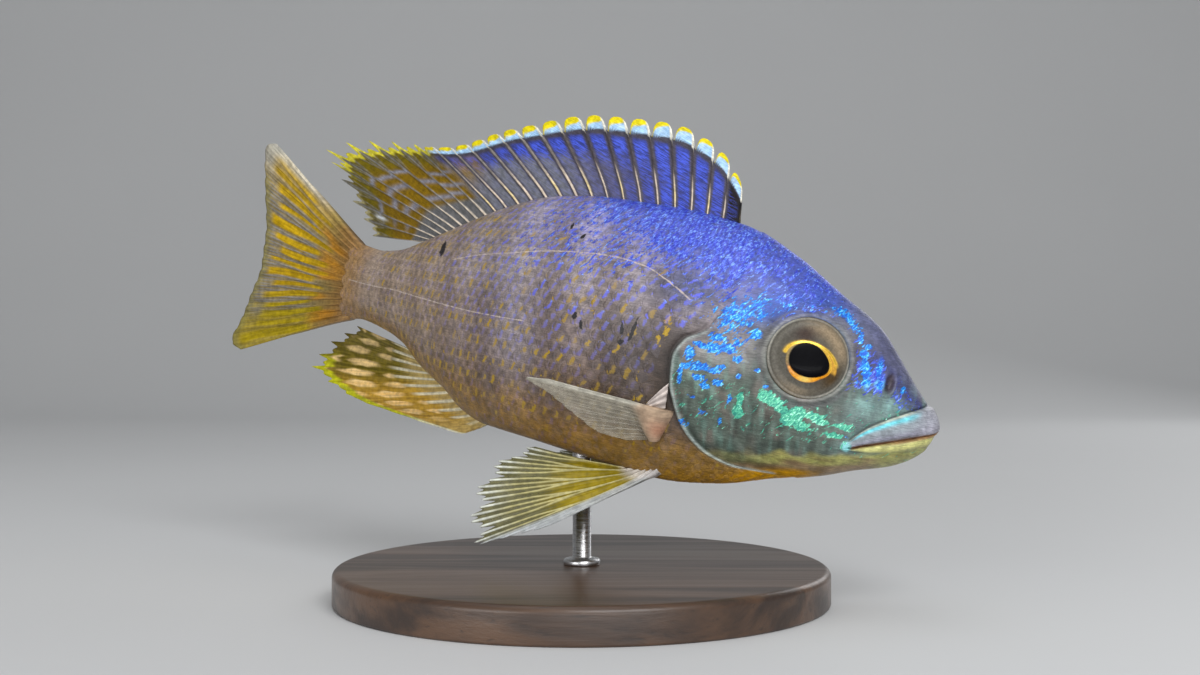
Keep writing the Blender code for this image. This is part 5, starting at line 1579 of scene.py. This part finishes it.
def pelvic_wall(q, v):
    ridge = 0.62 - 0.38 * np.clip(v, 0, 1)
    edge = 1 - 0.5 * ramp(v, 0.96, 0.04)
    crest = ray_tree(q, v, splits=(0.14, 0.36), width=(0.12, 0.05))
    return (0.12 + (ridge - 0.12) * crest + 0.5 * smooth_step(1 - v / 0.14)) * edge


def make_fins():
    """The three middle fins and, on each side, a pectoral fin with its folded web and a pelvic fin."""
    blue_web = fin_material("blue_web", (0.07, 0.12, 0.76, 1), 19, 0.92)
    amber_web = fin_material("amber_web", (0.50, 0.38, 0.12, 1), None, 0.15, 0.42, 0.00003)
    clear_web = fin_material("clear_web", (0.50, 0.48, 0.42, 1), None, 0.2, 0.36, 0.00003, 0.07)
    sunk_rows = np.concatenate([[-0.06, -0.02], np.linspace(0.02, 1, 60)])
    spine_columns = np.array([0, 0.04, 0.08, 0.12, 0.18, 0.26, 0.36, 0.48, 0.6, 0.7, 0.77, 0.82, 0.86,
                              0.9, 0.94, 0.97])
    fronts = np.arange(1, SPINES + 1)[:, None] + spine_columns[None]
    backs = np.linspace(SPINES + 1, DORSAL_RAYS, (DORSAL_RAYS - SPINES - 1) * 20 + 1)
    make_fin("dorsal_web", np.concatenate([fronts.ravel(), backs]), sunk_rows, dorsal_place,
             dorsal_wall, dorsal_paint, blue_web, "dorsal_fin")
    make_fin("anal_web", even_columns(ANAL_RAYS, 20), sunk_rows, anal_place, soft_wall(0.5, 0.2),
             anal_paint, amber_web, "anal_fin")
    make_fin("tail_web", even_columns(TAIL_RAYS, 18), sunk_rows, tail_place, soft_wall(1.5, 0.2),
             tail_paint, amber_web, "tail_fin")
    for hand, side_name, spread in ((1, "left", FOLDED_SHARE), (-1, "right", 1.0)):
        make_fin("pectoral_web_" + side_name, even_columns(PECTORAL_RAYS, 14), np.linspace(-0.1, 1, 50),
                 pectoral_place(hand), pectoral_wall, pectoral_paint, clear_web,
                 "pectoral_fin_" + side_name, 1.2)
        make_fin("pectoral_fold_" + side_name, even_columns(4, 8), np.linspace(0, 0.96, 12),
                 fold_place(hand), fold_wall, fold_paint, clear_web, None)
        make_fin("pelvic_web_" + side_name, even_columns(PELVIC_RAYS, 36), sunk_rows,
                 pelvic_place(hand, spread), pelvic_wall, pelvic_paint, clear_web,
                 "pelvic_fin_" + side_name)


# Eyes

def eye_paint(x, y):
    """Colours over the eye, x to the front and y up from its middle in millimetres, and how
    golden it is: an egg-shaped pupil that leans down to the front, an arc of gold over it that runs
    out in a point at the front, an orange crescent under it, a mottled iris and a pale rim."""
    lean = np.radians(-13)
    along = (x - 0.05) * np.cos(lean) + (y + 0.50) * np.sin(lean)
    across = (y + 0.50) * np.cos(lean) - (x - 0.05) * np.sin(lean)
    egg = np.hypot(along / 2.52, across / (2.05 * (1 - 0.17 * np.clip(along / 2.5, -1, 1))))
    away, angle = np.hypot(x, y) / EYE_RADIUS, np.arctan2(y, x)

    iris = painted(
        (0.088, 0.082, 0.068),
        ((0.26, 0.20, 0.13), ramp(np.cos(angle - 0.95), 0.35, 0.6) * bump(away - 0.76, 0.2)),
        # Painted shade over the top of the iris.
        ((0.045, 0.028, 0.024), bump(angle - 1.95, 0.5) * fall(away, 0.86, 0.25) * 0.85),
        ((0.06, 0.032, 0.008), bump(angle + 0.55, 0.45) * fall(away, 0.9, 0.15) * 0.85),
        ((0.24, 0.19, 0.13), bump(angle + 1.85, 0.45) * ramp(away, 0.72, 0.08) * 0.7),
        ((0.15, 0.14, 0.12), bump(away - 0.82, 0.06) * ramp(np.cos(angle - 2.9) + 0.2, 0, 0.6) * 0.6))

    arc_along, arc_across = along - 0.22, across + 0.14
    arc = np.hypot(arc_along / 3.30, arc_across / 2.36)
    arc_turn = np.arctan2(arc_across, arc_along)
    arc_turn = np.mod(arc_turn, 2 * np.pi)
    over = bump((arc - 0.99) * 2.9, 0.20) * ramp(arc_turn, 0.22, 0.25) * fall(arc_turn, 3.3, 0.15)
    over = over * ramp(arc_across, -0.30, 0.3)
    hug = ramp(egg, 0.97, 0.05) * fall(egg, 1.13, 0.05)
    hug = hug * (0.35 + 0.65 * ramp(np.cos(angle + 0.2) + 0.3, 0, 0.6))
    lip = fall(np.hypot((x + 0.15) / 2.4, (y + 0.92) / 2.2), 1.0, 0.08) * fall(y, -1.45, 0.25)
    drop = lip * bump(x + 0.1, 0.8)
    filled = fall(arc, 1.02, 0.06) * ramp(along, 0.6, 1.2) * ramp(across, -0.35, 0.5)
    iris = blended(iris, (0.62, 0.33, 0.045), filled * 0.85)
    gold = np.clip(np.maximum(np.maximum(over, hug * 0.75), lip), 0, 1)
    rear = hug * ramp(-np.cos(angle + 0.1), 0.1, 0.5) * (1 - over)
    gilt = painted(
        (0.95, 0.60, 0.07),
        ((0.95, 0.36, 0.012), fall(y, -0.6, 1.2)),
        ((0.97, 0.74, 0.20), drop * 0.8),
        ((0.36, 0.33, 0.29), rear))
    rim_light = np.clip(0.35 + 0.5 * np.cos(angle - 2.7) ** 2 + 0.4 * bump(angle + 0.7, 0.5), 0, 1)
    tint = painted(
        iris,
        (gilt, gold),
        ((0.002, 0.002, 0.003), fall(egg, 1.0, 0.04)),
        ((0.34, 0.33, 0.29), bump(away - 0.95, 0.028) * rim_light))
    tint = tint * (1 - 0.3 * bump(away - 0.91, 0.02))[..., None]
    # Painted shade: the eye darkens at its very edge, where it meets the socket.
    tint = tint * (1 - 0.7 * ramp(away, 0.975, 0.02))[..., None]
    return tint, gold * (1 - rear)


def make_eye(hand, side_name, material):
    """An eye as a low dome over the socket: height = -sunk + rise (1 - r^2)^0.8 on rings r of a
    disc, with a wall down into the socket and a closed floor."""
    rings, around = 64, 168
    r = np.linspace(0, 1, rings + 1)[1:, None]
    turn = np.linspace(0, 2 * np.pi, around, endpoint=False)[None, :]
    x, y = EYE_RADIUS * r * np.cos(turn), EYE_RADIUS * r * np.sin(turn)
    flat = np.concatenate([np.stack([x, y], -1).reshape(-1, 2), [(0.0, 0.0)]])
    x, y = flat[:, 0], flat[:, 1]
    away = np.hypot(x, y) / EYE_RADIUS

    tint, gold = eye_paint(x, y)

    dome = -EYE_SUNK + EYE_HEIGHT * np.clip(1 - away ** 2, 0, 1) ** 0.8
    dish = -0.12 * bump(away - 0.66, 0.16) + 0.06 * bump(away - 0.95, 0.04)
    centre, forward, up, outward = eye_frame(hand)
    at = centre + x[:, None] * forward + y[:, None] * up + (dome + dish)[:, None] * outward
    skirt = at[(rings - 1) * around:rings * around] - outward * 1.2
    at = np.concatenate([at, skirt, [centre - outward * 1.6]])
    # Painted shade: the wall and floor down in the socket are near black.
    tint = np.concatenate([tint, np.full((around + 1, 3), 0.02)])
    gold = np.concatenate([gold, np.zeros(around + 1)])
    middle, skirt_start, floor = rings * around, rings * around + 1, rings * around + 1 + around
    ring = np.arange(around)
    next_ring = (ring + 1) % around
    quads = grid_faces(rings, around, wrap=True)
    wall = np.stack([(rings - 1) * around + ring, (rings - 1) * around + next_ring,
                     skirt_start + next_ring, skirt_start + ring], -1)
    cap = fan(middle, 0, around, -1)
    bottom = np.stack([skirt_start + ring, skirt_start + next_ring, np.full(around, floor)], -1)
    faces = [quads, wall, cap, bottom]
    if hand < 0:
        faces = [f[:, ::-1] for f in faces]
    make_piece("eye_ball_" + side_name, posed(at), faces, material, ("eye_" + side_name,),
               {"place": at, "tint": with_alpha(tint), "gold": gold})


# Stand

def turned(name, profile, segments, material, node):
    """A turned piece: a profile of radius and height carried round the upright axis."""
    profile = np.asarray(profile, float)
    turn = np.linspace(0, 2 * np.pi, segments, endpoint=False)
    ring = np.stack([np.cos(turn), np.sin(turn)], -1)
    xy = profile[:, None, :1] * ring[None]
    z = np.broadcast_to(profile[:, None, 1:], (len(profile), segments, 1))
    at = np.concatenate([xy, z], -1).reshape(-1, 3)
    ends = [[0.0, 0.0, profile[0, 1]], [0.0, 0.0, profile[-1, 1]]]
    first, last = len(at), len(at) + 1
    quads = grid_faces(len(profile), segments, wrap=True)
    caps = fan(first, 0, segments, -1), fan(last, (len(profile) - 1) * segments, segments)
    make_piece(name, np.concatenate([at, ends]) * MM, [quads, *caps], material, (node,))


def make_stand(wood, steel):
    """The round base with rounded edges and a hole for the rod, and the rod with a small collar."""
    bend_steps = np.radians(np.linspace(0, 90, 9))
    low = [(BASE_RADIUS - BASE_EDGE * 0.4 * (1 - np.sin(a)), BASE_EDGE * 0.4 * (1 - np.cos(a)))
           for a in bend_steps]
    high = [(BASE_RADIUS - BASE_EDGE * (1 - np.cos(a)), BASE_HEIGHT - BASE_EDGE * (1 - np.sin(a)))
            for a in bend_steps]
    flat_top = [(r, BASE_HEIGHT) for r in np.linspace(BASE_RADIUS - BASE_EDGE - 0.4, 1.6, 8)]
    hole = [(ROD_HOLE, BASE_HEIGHT), (ROD_HOLE, 1.9)]
    turned("base_disc", [(BASE_RADIUS * 0.97, 0.0), *low, *high, *flat_top, *hole], 256, wood,
           "stand_base")
    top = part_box("stand_rod")[1][2] / MM
    collar = [(radius, BASE_HEIGHT + rise) for radius, rise in (
        (ROD_RADIUS, 0.02), (2.3, 0.02), (2.4, 0.12), (2.4, 0.6), (2.25, 0.8), (1.45, 0.95),
        (ROD_RADIUS, 1.1))]
    turned("rod", [(1.15, 2.1), (ROD_RADIUS, 2.2), *collar, (ROD_RADIUS, top - 0.2), (1.1, top)], 64,
           steel, "stand_rod")


# Room, light and camera

CAMERA_PLACE = (2.349, -202.455, 33.960)
SENSOR = 36.0
PICTURE_WIDTH = 1200
FOCUS_PIXELS = 1560


def make_room():
    """A pale floor that turns up into a wall far behind: y and z follow a quarter circle."""
    bend_radius, far, near, wide, tall = 0.35, 0.45, -4.0, 6.0, 4.0
    turn = np.radians(np.linspace(0, 90, 24))
    y = np.concatenate([[near], far + bend_radius * np.sin(turn), [far + bend_radius]])
    z = np.concatenate([[0.0], bend_radius * (1 - np.cos(turn)), [tall]])
    x = np.linspace(-wide, wide, 2)
    grid = [x[None, :] + 0 * y[:, None], y[:, None] + 0 * x, z[:, None] + 0 * x]
    points = np.stack(grid, -1).reshape(-1, 3)
    mesh = bpy.data.meshes.new("studio_sweep")
    mesh.from_pydata(points.tolist(), [], grid_faces(len(y), 2).tolist())
    mesh.shade_smooth()
    sweep = bpy.data.objects.new("studio_sweep", mesh)
    bpy.context.scene.collection.objects.link(sweep)
    material, graph, shader = principled("pale_floor", Roughness=0.65)
    place = graph.node("ShaderNodeTexCoord").outputs["Object"]
    greys = (0.60, 0.61, 0.62, 1), (0.64, 0.65, 0.66, 1)
    graph.feed(shader.inputs["Base Color"], graph.mix(graph.noise(place, 6.0), *greys))
    mesh.materials.append(material)


def add_light(name, place, aim, size, power):
    """A rectangular lamp at a place, turned towards a point."""
    light = bpy.data.lights.new(name, "AREA")
    light.shape = "RECTANGLE"
    light.size, light.size_y = size
    light.energy = power
    obj = bpy.data.objects.new(name, light)
    bpy.context.scene.collection.objects.link(obj)
    obj.matrix_world = Matrix(look_matrix(np.array(place), np.array(aim)).tolist())


def look_matrix(place, aim):
    """A turn whose -Z runs from place to aim and whose Y leans to the world's up."""
    back = (place - aim) / np.linalg.norm(place - aim)
    right = np.cross((0.0, 0.0, 1.0), back)
    right = right / np.linalg.norm(right)
    up = np.cross(back, right)
    matrix = np.eye(4)
    matrix[:3, 0], matrix[:3, 1], matrix[:3, 2], matrix[:3, 3] = right, up, back, place
    return matrix


def make_light():
    """Five soft lamps round the fish and an even, pale sky."""
    middle = (0.0, 0.0, 0.03)
    add_light("key", (0.14, -0.42, 0.38), middle, (0.34, 0.24), 1.9)
    add_light("fill", (-0.40, -0.46, 0.10), middle, (0.35, 0.30), 1.3)
    add_light("top", (-0.05, 0.0, 0.55), middle, (0.5, 0.3), 0.45)
    add_light("rim", (0.30, 0.40, 0.24), middle, (0.2, 0.25), 0.35)
    add_light("low", (0.10, -0.48, 0.03), middle, (0.40, 0.05), 0.55)
    world = bpy.data.worlds.new("studio")
    world.use_nodes = True
    world.node_tree.nodes["Background"].inputs["Color"].default_value = (1.0, 1.0, 1.0, 1.0)
    world.node_tree.nodes["Background"].inputs["Strength"].default_value = 0.32
    bpy.context.scene.world = world
    bpy.context.scene.view_settings.view_transform = "Standard"


def make_camera():
    """The photo's camera, as fitted: level, looking along the world's y."""
    camera = bpy.data.cameras.new("camera")
    camera.sensor_width = SENSOR
    camera.lens = SENSOR * FOCUS_PIXELS / PICTURE_WIDTH
    camera.clip_start = 0.01
    obj = bpy.data.objects.new("camera", camera)
    obj.location = np.array(CAMERA_PLACE) * MM
    obj.rotation_euler = (np.pi / 2, 0.0, 0.0)
    bpy.context.scene.collection.objects.link(obj)
    bpy.context.scene.camera = obj


def main():
    given = {"Ground": COLOUR, "Place": VECTOR,
             **dict.fromkeys(("Violet", "Cyan", "Mint", "Yellow"), FLOAT)}
    groups = {
        "flecks": make_group("iridescent_flecks", given, {"Colour": COLOUR, "Shine": FLOAT},
                             build_flecks),
        "ink": make_group("black_flecks", {"Place": VECTOR}, {"Ink": FLOAT}, build_ink),
    }
    make_camera()
    make_skin(skin_material(groups))
    make_coat(scale_material(groups))
    make_fins()
    eye = eye_material()
    make_eye(1, "left", eye)
    make_eye(-1, "right", eye)
    make_stand(wood_material(), steel_material())
    make_room()
    make_light()


main()
